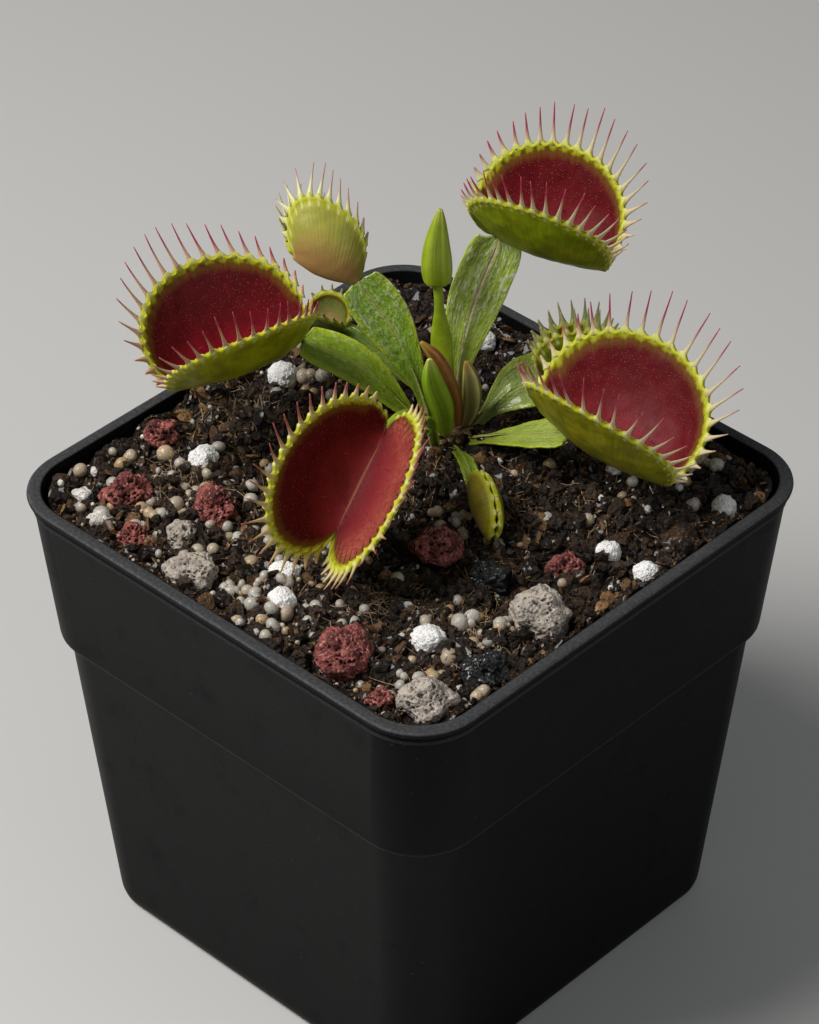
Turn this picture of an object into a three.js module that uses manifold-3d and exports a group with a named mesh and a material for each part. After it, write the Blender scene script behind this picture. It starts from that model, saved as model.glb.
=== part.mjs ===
// A potted Venus flytrap in a 9 cm square nursery pot, in millimetres, +Z up.
// The origin is the middle of the pot's flat underside. The plant and the stones are laid
// out in a plan frame turned about Z, where +X runs to the right and +Y away from the
// pot's front corner, and heights are measured from the soil at the crown.
import * as THREE from 'three';
import { mergeVertices } from 'three/addons/utils/BufferGeometryUtils.js';
import Module from 'manifold-3d';

const wasm = await Module();
wasm.setup();

// Driving dimensions
const RIM_HALF = 45;
const POT_HEIGHT = 84;
const COLLAR_DEPTH = 27;
const COLLAR_TOP_HALF = 44.3;
const COLLAR_HALF = 42.25;
const BODY_HALF = 40.9;
const BASE_HALF = 36.2;
const WALL = 1.5;
const FLOOR = 1.8;
const DRAIN_RADIUS = 3;
const DRAIN_OFFSET = 22;
const CLEARANCE = 0.3;
const SOIL_BELOW_RIM = 3.2;
const SOIL_MOUND = 1.4;
const SOIL_BUMP = 0.55;
const PLAN_TURN = THREE.MathUtils.degToRad(43.5);
const CROWN = new THREE.Vector3(6.1, 13.7, POT_HEIGHT - 2);
const LEAF_THICKNESS = 0.7;
const RIB_TIP_DEPTH = 0.5;
const KEEL_DEPTH = 0.5;
const MARGIN_END_HEIGHT = 1.2;
const RED_THICKNESS = 0.6;
const RED_GAP = 0.55;
const CILIUM_RADIUS = 0.33;
const ROOT_SINK = 0.015;
const UPRIGHT_SHARE = 0.9;
const TIP_LEAN = 0.25;
const SHORTEST_SHARE = 0.2;
const RHIZOME_RADIUS = 2.6;
const STONE_LIFT = 0.2;
const FINE_STONE_SIZE = 6.5;
const RED_INSET = 0.06;
const RED_END_INSET = 0.27;

const material = (colour, roughness, metalness = 0) => (
  new THREE.MeshStandardMaterial({ color: colour, roughness, metalness })
);
const materials = {
  plastic: material(0x1b1c1e, 0.55),
  soil: material(0x2b1d15, 0.95),
  rhizome: material(0x5d4a2c, 0.8),
  leaf: material(0x6f9a2c, 0.42),
  paleTrap: material(0xb3b86a, 0.5),
  red: material(0x7c1c2a, 0.38),
  youngRed: material(0x8a4a2e, 0.45),
  bud: material(0x93bf1f, 0.4),
  pumice: material(0x9b948b, 0.95),
  lava: material(0x6b2f2a, 0.95),
  perlite: material(0xd9d7d0, 0.9),
  charcoal: material(0x26272a, 0.8),
};

// Seeded random numbers, so that every build is the same
function seeded(seed) {
  let state = seed;
  return () => {
    state = (state * 1664525 + 1013904223) % 4294967296;
    return state / 4294967296;
  };
}

const vector = (p) => new THREE.Vector3(p[0], p[1], p[2]);
const lerp = THREE.MathUtils.lerp;

// Solids and joins
function toSolid(geometry) {
  const bare = geometry.clone();
  bare.deleteAttribute('normal');
  bare.deleteAttribute('uv');
  const merged = mergeVertices(bare, 1e-4);
  return new wasm.Manifold(new wasm.Mesh({
    numProp: 3,
    vertProperties: new Float32Array(merged.attributes.position.array),
    triVerts: new Uint32Array(merged.index.array),
  }));
}

function toGeometry(solid) {
  const mesh = solid.getMesh();
  const geometry = new THREE.BufferGeometry();
  geometry.setAttribute('position', new THREE.BufferAttribute(new Float32Array(mesh.vertProperties), 3));
  geometry.setIndex(new THREE.BufferAttribute(new Uint32Array(mesh.triVerts), 1));
  geometry.computeVertexNormals();
  return geometry;
}

// The largest body alone: a sealed hollow is filled and a loose scrap is dropped
const largest = (solid) => solid.decompose().reduce((a, b) => (b.volume() > a.volume() ? b : a));
const join = (geometries) => toGeometry(
  largest(geometries.map(toSolid).reduce((whole, piece) => whole.add(piece))),
);
const cut = (geometry, tools) => toGeometry(
  largest(tools.map(toSolid).reduce((whole, tool) => whole.subtract(tool), toSolid(geometry))),
);

function indexed(points, triangles) {
  const geometry = new THREE.BufferGeometry();
  geometry.setAttribute('position', new THREE.Float32BufferAttribute(points.flatMap((p) => p.toArray()), 3));
  geometry.setIndex(triangles);
  geometry.computeVertexNormals();
  return geometry;
}

// A thin sheet on surface(u, v): its outer face lies outer(u, v) above the surface and its
// inner face inner(u, v) below. Both faces are split along the same diagonals.
function sheet(surface, columns, rows, outer, inner) {
  const points = [];
  const step = 1e-3;
  for (const shift of [outer, (u, v) => -inner(u, v)]) {
    for (let i = 0; i <= columns; i += 1) {
      for (let j = 0; j <= rows; j += 1) {
        const [u, v] = [i / columns, j / rows];
        const du = surface(u + step, v).sub(surface(u - step, v));
        const dv = surface(u, v + step).sub(surface(u, v - step));
        points.push(surface(u, v).addScaledVector(du.cross(dv).normalize(), shift(u, v)));
      }
    }
  }
  const face = (columns + 1) * (rows + 1);
  const at = (i, j, side) => side * face + i * (rows + 1) + j;
  const triangles = [];
  for (let i = 0; i < columns; i += 1) {
    for (let j = 0; j < rows; j += 1) {
      triangles.push(at(i, j, 0), at(i + 1, j, 0), at(i + 1, j + 1, 0));
      triangles.push(at(i, j, 0), at(i + 1, j + 1, 0), at(i, j + 1, 0));
      triangles.push(at(i, j, 1), at(i + 1, j + 1, 1), at(i + 1, j, 1));
      triangles.push(at(i, j, 1), at(i, j + 1, 1), at(i + 1, j + 1, 1));
    }
  }
  const edge = (a, b) => {
    triangles.push(at(...a, 0), at(...a, 1), at(...b, 1), at(...a, 0), at(...b, 1), at(...b, 0));
  };
  for (let i = 0; i < columns; i += 1) {
    edge([i, 0], [i + 1, 0]);
    edge([i + 1, rows], [i, rows]);
  }
  for (let j = 0; j < rows; j += 1) {
    edge([0, j + 1], [0, j]);
    edge([columns, j], [columns, j + 1]);
  }
  return indexed(points, triangles);
}

// Rings of equal count joined into one closed skin, with its first and last ring capped
function skin(rings) {
  const count = rings[0].length;
  const triangles = [];
  for (let k = 0; k + 1 < rings.length; k += 1) {
    for (let i = 0; i < count; i += 1) {
      const [a, b] = [k * count + i, k * count + ((i + 1) % count)];
      triangles.push(a, b, b + count, a, b + count, a + count);
    }
  }
  const last = (rings.length - 1) * count;
  for (let i = 1; i + 1 < count; i += 1) {
    triangles.push(0, i + 1, i, last, last + i, last + i + 1);
  }
  return indexed(rings.flat(), triangles);
}

// An oval stem along a smooth path; width lies across the face direction, depth along it
function stem(path, face, width, depth, sides, steps) {
  const rings = [];
  for (let k = 0; k <= steps; k += 1) {
    const t = k / steps;
    const tangent = path.getTangent(t);
    const across = new THREE.Vector3().crossVectors(tangent, face).normalize();
    const front = new THREE.Vector3().crossVectors(across, tangent);
    const ring = [];
    for (let i = 0; i < sides; i += 1) {
      const angle = (2 * Math.PI * i) / sides;
      ring.push(path.getPoint(t)
        .addScaledVector(front, depth(t) * Math.cos(angle))
        .addScaledVector(across, width(t) * Math.sin(angle)));
    }
    rings.push(ring);
  }
  return skin(rings);
}

const curve = (points) => new THREE.CatmullRomCurve3(points.map(vector), false, 'centripetal');

// A three-sided spike whose root is sunk into the margin
function spike(root, direction, radius) {
  const axis = direction.clone().normalize();
  const across = new THREE.Vector3(axis.y, -axis.x, 0.01).normalize();
  const front = new THREE.Vector3().crossVectors(axis, across);
  const corners = [0, 1, 2].map((i) => {
    const angle = (2 * Math.PI * i) / 3;
    return root.clone()
      .addScaledVector(across, radius * Math.cos(angle))
      .addScaledVector(front, radius * Math.sin(angle));
  });
  return indexed([...corners, root.clone().add(direction)], [0, 2, 1, 0, 1, 3, 1, 2, 3, 2, 0, 3]);
}

// A petiole: a winged blade on a rib. Its half width swells towards the tip, and both
// wings rise from the rib by the fold angle.
function petiole(leaf) {
  const rib = curve(leaf.rib);
  const face = vector(leaf.face);
  const fold = THREE.MathUtils.degToRad(leaf.fold);
  const halfWidth = (u) => {
    const swell = THREE.MathUtils.smoothstep(u, leaf.swell[0], leaf.swell[1]);
    const pastShoulder = Math.max(0, (u - leaf.shoulder) / (1 - leaf.shoulder));
    const shoulder = Math.sqrt(Math.max(0, 1 - pastShoulder ** 2));
    return lerp(leaf.base, leaf.wide, swell * shoulder);
  };
  const ripple = (t, side) => leaf.wave * halfWidth(t) * side * side * Math.sin(9 * t + 2 * side);
  const blade = (u, v) => {
    const t = THREE.MathUtils.clamp(u, 0, 1);
    const tangent = rib.getTangent(t);
    const across = new THREE.Vector3().crossVectors(tangent, face).normalize();
    const front = new THREE.Vector3().crossVectors(across, tangent);
    const side = 2 * v - 1;
    const reach = halfWidth(t) * side;
    return rib.getPoint(t)
      .addScaledVector(tangent, leaf.ear * side * side * t * t + (u - t) * rib.getLength())
      .addScaledVector(across, reach * Math.cos(fold))
      .addScaledVector(front, Math.abs(reach) * Math.sin(fold) + ripple(t, side));
  };
  const half = LEAF_THICKNESS / 2;
  const ribShare = (v) => Math.max(0, 1 - Math.abs(4 * v - 2));
  const ribHeight = (u, v) => half + lerp(leaf.stalk, RIB_TIP_DEPTH, u) * ribShare(v);
  return sheet(blade, leaf.steps, 4, () => half, ribHeight);
}

// A trap: one sheet folded along its hinge. Laid flat, its outline is part of an ellipse
// whose lowest points are the two ends of the margin. From the hinge each lobe starts
// square to the middle plane and turns up to its own margin angle.
function trapShape(trap) {
  const start = vector(trap.hinge[0]);
  const hinge = vector(trap.hinge[1]).sub(start);
  const length = hinge.length();
  const along = hinge.clone().normalize();
  const up = vector(trap.up).addScaledVector(along, -vector(trap.up).dot(along)).normalize();
  const side = new THREE.Vector3().crossVectors(along, up);
  const rise = trap.height - trap.centre;
  const first = Math.asin((MARGIN_END_HEIGHT - trap.centre) / rise);
  const section = (angle, reach) => {
    const steps = 10;
    const sum = [0, 0];
    for (let k = 0; k < steps; k += 1) {
      const r = (reach * (k + 0.5)) / steps;
      const lean = angle + (Math.PI / 2 - angle) * Math.max(0, 1 - r) ** trap.turn;
      sum[0] += (Math.cos(lean) * reach) / steps;
      sum[1] += (Math.sin(lean) * reach) / steps;
    }
    return sum;
  };
  return (u, v) => {
    const signed = 2 * v - 1;
    const reach = Math.abs(signed);
    const lobe = signed < 0 ? 0 : 1;
    const phi = lerp(first, Math.PI - first, u);
    const half = (length + trap.ahead + trap.behind[lobe]) / 2;
    const marginX = half - trap.behind[lobe] - half * Math.cos(phi);
    const marginY = trap.centre + rise * Math.sin(phi);
    const x = lerp(length * u, marginX, reach);
    const spread = trap.spread[lobe] * (1 - trap.pinch * (2 * u - 1) ** 2);
    const [rises, leaves] = section(THREE.MathUtils.degToRad(spread), reach);
    const bow = trap.bow * 4 * (x / length) * (1 - x / length);
    return start.clone()
      .addScaledVector(along, x + trap.skew * rises * marginY)
      .addScaledVector(up, rises * marginY - bow)
      .addScaledVector(side, Math.sign(signed) * leaves * marginY);
  };
}

// Cilia stand square to both margins past the bare end at the petiole. Near the petiole
// they lean towards the trap's tip, and they are longest a little beyond the middle.
function cilia(trap, surface) {
  const spikes = [];
  for (const margin of [0, 1]) {
    const inward = (share) => Math.abs(margin - share);
    for (let i = trap.bare; i < trap.cilia; i += 1) {
      const u = (i + 0.5) / trap.cilia;
      const root = surface(u, inward(ROOT_SINK));
      const out = surface(u, margin).sub(surface(u, inward(0.07))).normalize();
      const fan = surface(u + 0.02, margin).sub(surface(u - 0.02, margin)).normalize();
      const before = UPRIGHT_SHARE - u;
      out.addScaledVector(fan, -out.dot(fan)).normalize();
      out.addScaledVector(fan, trap.sweep * before * Math.abs(before) - TIP_LEAN).normalize();
      const size = trap.bristle * lerp(SHORTEST_SHARE, 1, Math.sin(Math.PI * u ** 1.3) ** 1.5);
      spikes.push(spike(root, out.multiplyScalar(size), CILIUM_RADIUS));
    }
  }
  return spikes;
}

function trapPieces(trap) {
  const surface = trapShape(trap);
  const half = LEAF_THICKNESS / 2;
  const keel = (u, v) => half + KEEL_DEPTH * Math.max(0, 1 - Math.abs(8 * v - 4));
  return [sheet(surface, trap.steps, 8, keel, () => half), ...cilia(trap, surface)];
}

// The red inner face of an open trap: one sheet across both lobes, short of the margin
function redFace(trap) {
  const surface = trapShape(trap);
  const inset = (v) => lerp(RED_END_INSET, RED_INSET, Math.sqrt(Math.abs(2 * v - 1)));
  const inner = (u, v) => surface(lerp(inset(v), 1 - inset(v), u), lerp(0.05, 0.95, v));
  const near = LEAF_THICKNESS / 2 + RED_GAP;
  return sheet(inner, 7, 8, () => -near, () => near + RED_THICKNESS);
}

const plan = new THREE.Group();
plan.rotation.z = PLAN_TURN;
const crown = new THREE.Group();
crown.position.copy(CROWN);
plan.add(crown);

const add = (parent, name, geometry, finish) => {
  const mesh = new THREE.Mesh(geometry, finish.clone());
  mesh.name = name;
  parent.add(mesh);
  return mesh;
};

// Leaves with their traps. Every place is from the crown: right, away, up.
const bladeForm = {
  base: 1.0, wide: 3.6, swell: [0.15, 0.75], shoulder: 0.8, fold: 16, ear: 1.4, wave: 0.03, stalk: 0.95,
  steps: 7,
};
const trapForm = {
  turn: 2.6, pinch: 0.6, bow: 1.0, skew: 0, cilia: 18, bristle: 6,
  sweep: 1.2, bare: 2, steps: 9,
};
const leaves = {
  leaf_left: {
    blade: {
      rib: [[-3.9, 0.6, 0.6], [-7.5, 2.2, 4.5], [-14, 5.2, 9.6], [-23, 7.7, 13.2]], face: [0.1, -0.45, 0.9],
    },
    trap: {
      hinge: [[-23, 7.8, 14.1], [-41.9, -5.6, 14.1]], up: [0, 0, 1], height: 18.6, centre: 6.6,
      ahead: 3.6, behind: [-0.8, 2.2], spread: [23, 30], turn: 3.1, bow: 0.4, cilia: 23,
      bristle: 8, sweep: 3,
    },
    red: true,
  },
  leaf_front: {
    blade: {
      rib: [[-2.1, -3.2, 0.6], [-3.2, -6, 7], [-5.8, -12, 12.8], [-9.8, -17.8, 13]],
      face: [-0.2, -0.5, 0.85], wide: 2.2, base: 0.9,
    },
    trap: {
      hinge: [[-10.4, -18.5, 13.8], [-17.2, -30, 5.1]], up: [-0.25, -0.6, 0.79], height: 17.6,
      centre: 6.7, ahead: 5.7, behind: [5.5, 5.5], spread: [28.5, 13], turn: 3.4, pinch: 0.05, bow: -0.15,
      skew: 0.28, cilia: 24, bristle: 7, sweep: 0.6,
    },
    red: true,
  },
  leaf_right: {
    blade: {
      rib: [[3.5, -1.6, 0.6], [8, -4, 3], [13.2, -7.6, 6], [18.5, -10.8, 8.8]], face: [0, -0.3, 1],
      wide: 3.3,
    },
    trap: {
      hinge: [[18.5, -10.9, 9.4], [32.2, -21.1, 7.7]], up: [0.25, 0.12, 1], height: 20.8, centre: 7.1,
      ahead: 3.2, behind: [8.8, 6.4], spread: [15, 34.5], turn: 2.9, pinch: 0.48, bow: 0.2, cilia: 22,
      bristle: 9, sweep: 1.4,
    },
    red: true,
  },
  leaf_tall: {
    blade: {
      rib: [[1.4, 3.6, 0.8], [1.4, 5.6, 9], [3.5, 8.2, 19.5], [7.7, 9.9, 31.3]], face: [0, -0.9, 0.35],
      wide: 4.5, ear: 2.4, shoulder: 0.85,
    },
    trap: {
      hinge: [[7.6, 9.9, 31.9], [23.8, 2.8, 30.6]], up: [0.06, 0, 1], height: 17.7, centre: 5.9,
      ahead: 1.2, behind: [5.7, 4.3], spread: [20.5, 19.5], turn: 3.25, pinch: 0.55, bow: 0.2, cilia: 24,
      bristle: 8, sweep: 1.4,
    },
    red: true,
  },
  leaf_pale: {
    blade: {
      rib: [[-2.9, 2.5, 0.8], [-5.4, 5.8, 8], [-9.5, 9.2, 15.5], [-14.3, 11.5, 22.2]], face: [0, -0.8, 0.5],
      wide: 4.2,
    },
    trap: {
      hinge: [[-14.3, 11.5, 22.4], [-23.9, 13, 25.8]], up: [0.15, 0.8, 0.55], height: 12, centre: 4.4,
      ahead: 2.2, behind: [0.6, 0.6], spread: [6, 6], pinch: 0.3, skew: 0.3, cilia: 15, bristle: 6,
      sweep: 3,
    },
    finish: 'paleTrap',
  },
  leaf_back: {
    blade: {
      rib: [[3.5, 1.5, 0.7], [7, 3.6, 3.6], [11, 5.4, 5.8], [15.7, 6.8, 7]], face: [0.1, -0.5, 0.85],
      wide: 4.6,
    },
    trap: {
      hinge: [[15.7, 6.8, 7.2], [24.8, 7.6, 8.4]], up: [0.05, 0.45, 0.9], height: 9.8, centre: 3.6,
      ahead: 1.6, behind: [2, 2], spread: [8, 8], pinch: 0.3, bow: 0.4, cilia: 14, bristle: 4,
    },
  },
  leaf_far: {
    blade: {
      rib: [[-1.2, 3.9, 0.6], [-5.5, 9.5, 3.6], [-12, 14.5, 6.6], [-17, 17.6, 8.4]], face: [0, -0.5, 0.85],
      wide: 1.8, base: 0.8, steps: 5,
    },
    trap: {
      hinge: [[-17, 17.6, 8.5], [-22, 20, 9]], up: [0, -0.1, 1], height: 6, centre: 2,
      ahead: 0.8, behind: [1, 1], spread: [14, 14], bow: 0.3, cilia: 8, bristle: 1.6,
      bare: 0, steps: 5,
    },
  },
  leaf_low: {
    blade: {
      rib: [[0.9, -3.9, 0.4], [1.6, -8.6, 3.2], [2.6, -13.2, 4.9], [3.6, -17.4, 4.2]], face: [0, -0.3, 1],
      wide: 1.3, base: 0.8, stalk: 0.8, steps: 5,
    },
    trap: {
      hinge: [[3.4, -17.5, 4], [5.9, -27.3, 1.6]], up: [0.35, -0.3, 0.85], height: 7.2, centre: 2.5,
      ahead: 0.6, behind: [0.8, 0.8], spread: [-57, -57], turn: 1.3, pinch: 0.5, bow: 0.2, cilia: 8, bristle: 1,
      bare: 0, steps: 5,
    },
  },
};

for (const [name, leaf] of Object.entries(leaves)) {
  const blade = { ...bladeForm, ...leaf.blade };
  const trap = { ...trapForm, ...leaf.trap };
  const geometry = join([petiole(blade), ...trapPieces(trap)]);
  add(crown, name, geometry, materials[leaf.finish ?? 'leaf']);
  if (leaf.red) add(crown, `${name}_red_face`, redFace(trap), materials.red);
}

// Young leaves in the middle, still folded shut
const pod = (points, face, width, depth, fullest = 1, steps = 8) => {
  const swell = (t) => Math.sin(Math.PI * lerp(0.12, 0.97, t) ** fullest) ** 0.7;
  return stem(curve(points), vector(face), (t) => width * swell(t), (t) => depth * swell(t), 8, steps);
};
const budStalk = stem(
  curve([[-0.6, 1.9, 2.4], [-1.2, 3.4, 14], [-2, 4.5, 28]]), vector([0, -1, 0.1]),
  (t) => (t > 0.3 && t < 0.7 ? 1.7 : 0.8), (t) => 0.7, 6, 8,
);
add(crown, 'bud_leaf', join([
  budStalk,
  pod([[-2, 4.5, 26.8], [-2.1, 4.7, 33], [-1.6, 5, 39.9]], [0, -1, 0], 2.4, 1.9, 0.62),
]), materials.bud);
add(crown, 'young_red_leaf', pod(
  [[1.2, 0.2, 2.6], [0.4, -0.4, 9], [-2, -1, 16], [-4.5, -1.3, 19.6]], [0, -1, 0.2], 1.3, 1.2,
), materials.youngRed);
add(crown, 'young_green_leaf', pod(
  [[-0.6, -1.9, 2.4], [-1.2, -3, 8], [-2.8, -3.8, 14], [-3.2, -4.1, 18.4]], [0.3, -1, 0.2], 1.9, 1.1,
), materials.bud);
add(crown, 'young_striped_leaf', pod(
  [[2.45, 1.05, 1.9], [3.35, 1.25, 6], [3.25, 1.25, 10.5], [2.55, 1.05, 14.2]], [0, -1, 0], 1.6, 1.35,
), materials.youngRed);

// The rhizome that carries the rosette: a bulb in the soil with a flat top
const turned = (profile) => new THREE.LatheGeometry(profile.map((p) => new THREE.Vector2(...p)), 12)
  .rotateX(Math.PI / 2);
const rhizome = turned([
  [0, -16], [1.4, -15.6], [2.8, -12], [3, -8],
  [RHIZOME_RADIUS, -3], [RHIZOME_RADIUS, 0.6], [2.2, 1.5], [0, 1.7],
]);
const rhizomeMesh = add(crown, 'rhizome', toGeometry(toSolid(rhizome)), materials.rhizome);

// Stones, each half sunk in a socket of its own: right, away, size across, height above soil
const stones = {
  pumice: [[-33, -20.3, 7.7], [19.2, -30.3, 9.9], [2.4, -50.3, 7.5], [-34.9, -10.5, 5.2]],
  lava: [
    [-43.6, -0.3, 7.4], [-42.4, -10.7, 5.2], [-30, -4.2, 7.1], [-39, 14.3, 5.3], [-9.5, -40, 8.3],
    [3.9, -15.2, 7.9], [-4.3, -49.4, 4.6], [23.4, -18.6, 5.2],
  ],
  perlite: [
    [-32.3, 8.2, 4.4], [-19, -19.5, 4.2], [-20.5, 30.7, 5], [2.6, -35.4, 4.8], [48.3, -3.5, 4.3],
    [29.9, -15, 4], [35.6, -19.8, 3.8], [11.9, 40.5, 3.9], [-19.3, -26, 4],
  ],
  charcoal: [[12, -21, 6.4], [10.9, -42.6, 7.2]],
};

const soilTop = POT_HEIGHT - SOIL_BELOW_RIM;
const mound = (x, y) => {
  const nearCrown = Math.exp(-(((x - CROWN.x) ** 2 + (y - CROWN.y) ** 2) / 500));
  const bumps = Math.sin(0.47 * x + 1.3) * Math.cos(0.39 * y) + Math.sin(0.83 * y + 0.31 * x);
  return soilTop + SOIL_MOUND * nearCrown + SOIL_BUMP * bumps;
};

function stoneShape(size, seed, rough) {
  const random = seeded(seed);
  const waves = [1, 2, 3].map(() => [random() * 6, random() * 6, random() * 6]);
  const stretch = [0.9 + 0.2 * random(), 0.85 + 0.2 * random(), 0.82 + 0.14 * random()];
  const shape = new THREE.IcosahedronGeometry(1, size > FINE_STONE_SIZE ? 2 : 1);
  const spots = shape.attributes.position;
  for (let i = 0; i < spots.count; i += 1) {
    const p = new THREE.Vector3().fromBufferAttribute(spots, i);
    const lump = (w, k) => Math.sin((k + 2) * p.x + w[0]) * Math.cos((k + 2) * p.y + w[1])
      * Math.sin((k + 1.5) * p.z + w[2]);
    const bump = waves.reduce((sum, w, k) => sum + lump(w, k), 0);
    p.multiplyScalar((size / 2) * (1 + rough * bump));
    spots.setXYZ(i, p.x * stretch[0], p.y * stretch[1], p.z * stretch[2]);
  }
  return toGeometry(toSolid(shape));
}

const stoneMeshes = Object.entries(stones).flatMap(([kind, places], row) => (
  places.map(([x, y, size], index) => {
    const rough = kind === 'perlite' ? 0.05 : 0.11;
    const shape = stoneShape(size, 31 * row + 7 * index + 5, rough);
    const mesh = add(plan, `${kind}_${index + 1}`, shape, materials[kind]);
    mesh.position.set(x, y, mound(x, y) + size * STONE_LIFT);
    return mesh;
  })
));

// A level ring in the shape of a rounded square: half size, corner radius, height
function roundedSquare(half, radius, z, cornerSteps = 4, sideSteps = 1) {
  const ring = [];
  for (let corner = 0; corner < 4; corner += 1) {
    const turn = new THREE.Matrix4().makeRotationZ((Math.PI / 2) * corner);
    for (let k = 0; k <= cornerSteps; k += 1) {
      const angle = ((Math.PI / 2) * k) / cornerSteps;
      const x = half - radius + radius * Math.cos(angle);
      const y = half - radius + radius * Math.sin(angle);
      ring.push(new THREE.Vector3(x, y, z).applyMatrix4(turn));
    }
    for (let k = 1; k < sideSteps; k += 1) {
      const x = lerp(half - radius, radius - half, k / sideSteps);
      ring.push(new THREE.Vector3(x, half, z).applyMatrix4(turn));
    }
  }
  return ring;
}

const stepZ = POT_HEIGHT - COLLAR_DEPTH;
const outside = [
  [BASE_HALF - 1.6, 6.5, 0], [BASE_HALF - 0.6, 7.4, 0.6], [BASE_HALF, 8, 2], [BODY_HALF, 10, stepZ - 1.5],
  [COLLAR_HALF - 0.35, 10.4, stepZ - 0.6], [COLLAR_HALF, 10.5, stepZ + 0.3],
  [COLLAR_TOP_HALF, 10.7, POT_HEIGHT - 1.6], [RIM_HALF, 10.8, POT_HEIGHT - 1.2],
  [RIM_HALF, 10.8, POT_HEIGHT - 0.6], [RIM_HALF - 0.4, 10.4, POT_HEIGHT],
];
const inside = [
  [RIM_HALF - 1.9, 9, POT_HEIGHT], [RIM_HALF - 2.3, 8.8, POT_HEIGHT - 0.5],
  [COLLAR_HALF - WALL + 0.1, 9.4, stepZ + 0.6], [BODY_HALF - WALL, 8.6, stepZ - 1.2],
  [BASE_HALF - WALL, 6.6, FLOOR + 1], [BASE_HALF - WALL - 1, 6, FLOOR],
];
const potSkin = skin([...outside, ...inside].map((ring) => roundedSquare(...ring)));
const drain = (x, y) => {
  const hole = new THREE.CylinderGeometry(DRAIN_RADIUS, DRAIN_RADIUS, 3 * FLOOR, 12);
  return hole.rotateX(Math.PI / 2).translate(x, y, FLOOR / 2);
};
const drains = [[1, 0], [0, 1], [-1, 0], [0, -1]]
  .map(([x, y]) => drain(x * DRAIN_OFFSET, y * DRAIN_OFFSET));

const object = new THREE.Group();
add(object, 'pot', cut(potSkin, drains), materials.plastic);
object.add(plan);
object.updateMatrixWorld(true);

// The soil fills the pot up to a bumpy top of rings that shrink towards the middle
const soilRing = (half, radius, z) => roundedSquare(half, radius, z, 3, 5);
const soilWalls = [
  [BASE_HALF - WALL - 1 - CLEARANCE, 5.8, FLOOR + CLEARANCE],
  [BASE_HALF - WALL - CLEARANCE, 6.4, FLOOR + 1.2],
  [BODY_HALF - WALL - CLEARANCE, 8.4, stepZ - 1.5], [COLLAR_HALF - WALL - CLEARANCE, 9.2, stepZ + 1.4],
].map((ring) => soilRing(...ring));
const soilTopHalf = RIM_HALF - 2.9;
const soilTopRadius = 8.9;
const topRings = 6;
const soilRings = [...soilWalls];
const upright = new THREE.Vector3(0, 0, 1);
for (let k = 0; k < topRings; k += 1) {
  const inward = 1 - k / topRings;
  soilRings.push(soilRing(soilTopHalf * inward, soilTopRadius * inward, 0).map((p) => {
    const inPlan = p.clone().applyAxisAngle(upright, -PLAN_TURN);
    return p.setZ(mound(inPlan.x, inPlan.y));
  }));
}

// A socket is a coarse ball round its stone, grown so that its flat faces clear the stone
function socket(mesh) {
  mesh.geometry.computeBoundingBox();
  const size = mesh.geometry.boundingBox.getSize(new THREE.Vector3()).multiplyScalar(0.5);
  const middle = mesh.geometry.boundingBox.getCenter(new THREE.Vector3());
  const coarse = size.x < 3;
  const grow = (coarse ? 1.3 : 1.2) * (1 + CLEARANCE / Math.min(size.x, size.y, size.z));
  return new THREE.IcosahedronGeometry(1, coarse ? 0 : 1)
    .scale(size.x * grow, size.y * grow, size.z * grow)
    .translate(middle.x, middle.y, middle.z)
    .applyMatrix4(mesh.matrixWorld);
}

const crownHole = new THREE.CylinderGeometry(6.2, 5, 3, 20).rotateX(Math.PI / 2).translate(0, 0, 0.2);
const bulbHole = turned([[0, -16.4], [1.7, -16], [3.3, -12.2], [3.5, -8], [3.2, -1.5], [3.2, 1], [0, 1]]);
const holes = [crownHole, bulbHole].map((hole) => hole.applyMatrix4(rhizomeMesh.matrixWorld));
add(object, 'soil', cut(skin(soilRings), [...stoneMeshes.map(socket), ...holes]), materials.soil);

export default object;
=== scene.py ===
"""A potted Venus flytrap: the looks of the plant, its soil, stones and pot, on the CAD frame.

Shapes are worked out in millimetres with numpy and turned into metres when their mesh is
made. The plant and the stones are laid out in a plan frame turned about Z, where +X runs to
the right and +Y away from the pot's front corner.
"""
import math

import bmesh
import bpy
import numpy as np
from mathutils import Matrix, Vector


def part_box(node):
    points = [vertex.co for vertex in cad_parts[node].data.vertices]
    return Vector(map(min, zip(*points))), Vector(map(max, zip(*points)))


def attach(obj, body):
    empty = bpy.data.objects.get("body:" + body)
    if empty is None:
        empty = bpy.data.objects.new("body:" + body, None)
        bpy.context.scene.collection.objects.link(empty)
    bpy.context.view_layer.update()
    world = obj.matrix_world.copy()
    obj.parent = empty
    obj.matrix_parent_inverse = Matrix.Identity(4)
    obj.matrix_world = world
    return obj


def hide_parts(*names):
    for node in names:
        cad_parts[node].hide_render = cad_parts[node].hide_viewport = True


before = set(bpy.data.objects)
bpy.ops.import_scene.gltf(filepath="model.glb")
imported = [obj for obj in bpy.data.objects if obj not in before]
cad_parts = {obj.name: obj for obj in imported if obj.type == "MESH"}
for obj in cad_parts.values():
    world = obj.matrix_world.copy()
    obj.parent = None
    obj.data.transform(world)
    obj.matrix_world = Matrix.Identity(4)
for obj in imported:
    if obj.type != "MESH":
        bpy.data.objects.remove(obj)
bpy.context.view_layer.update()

bl_info = {
    "name": "Potted Venus Flytrap",
    "version": (1, 0, 0),
    "blender": (4, 5, 0),
    "location": "View3D > Sidebar > Flytrap",
    "description": "Builds the traps, leaves, soil, stones and pot on the packed frame",
    "category": "Add Mesh",
}

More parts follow.
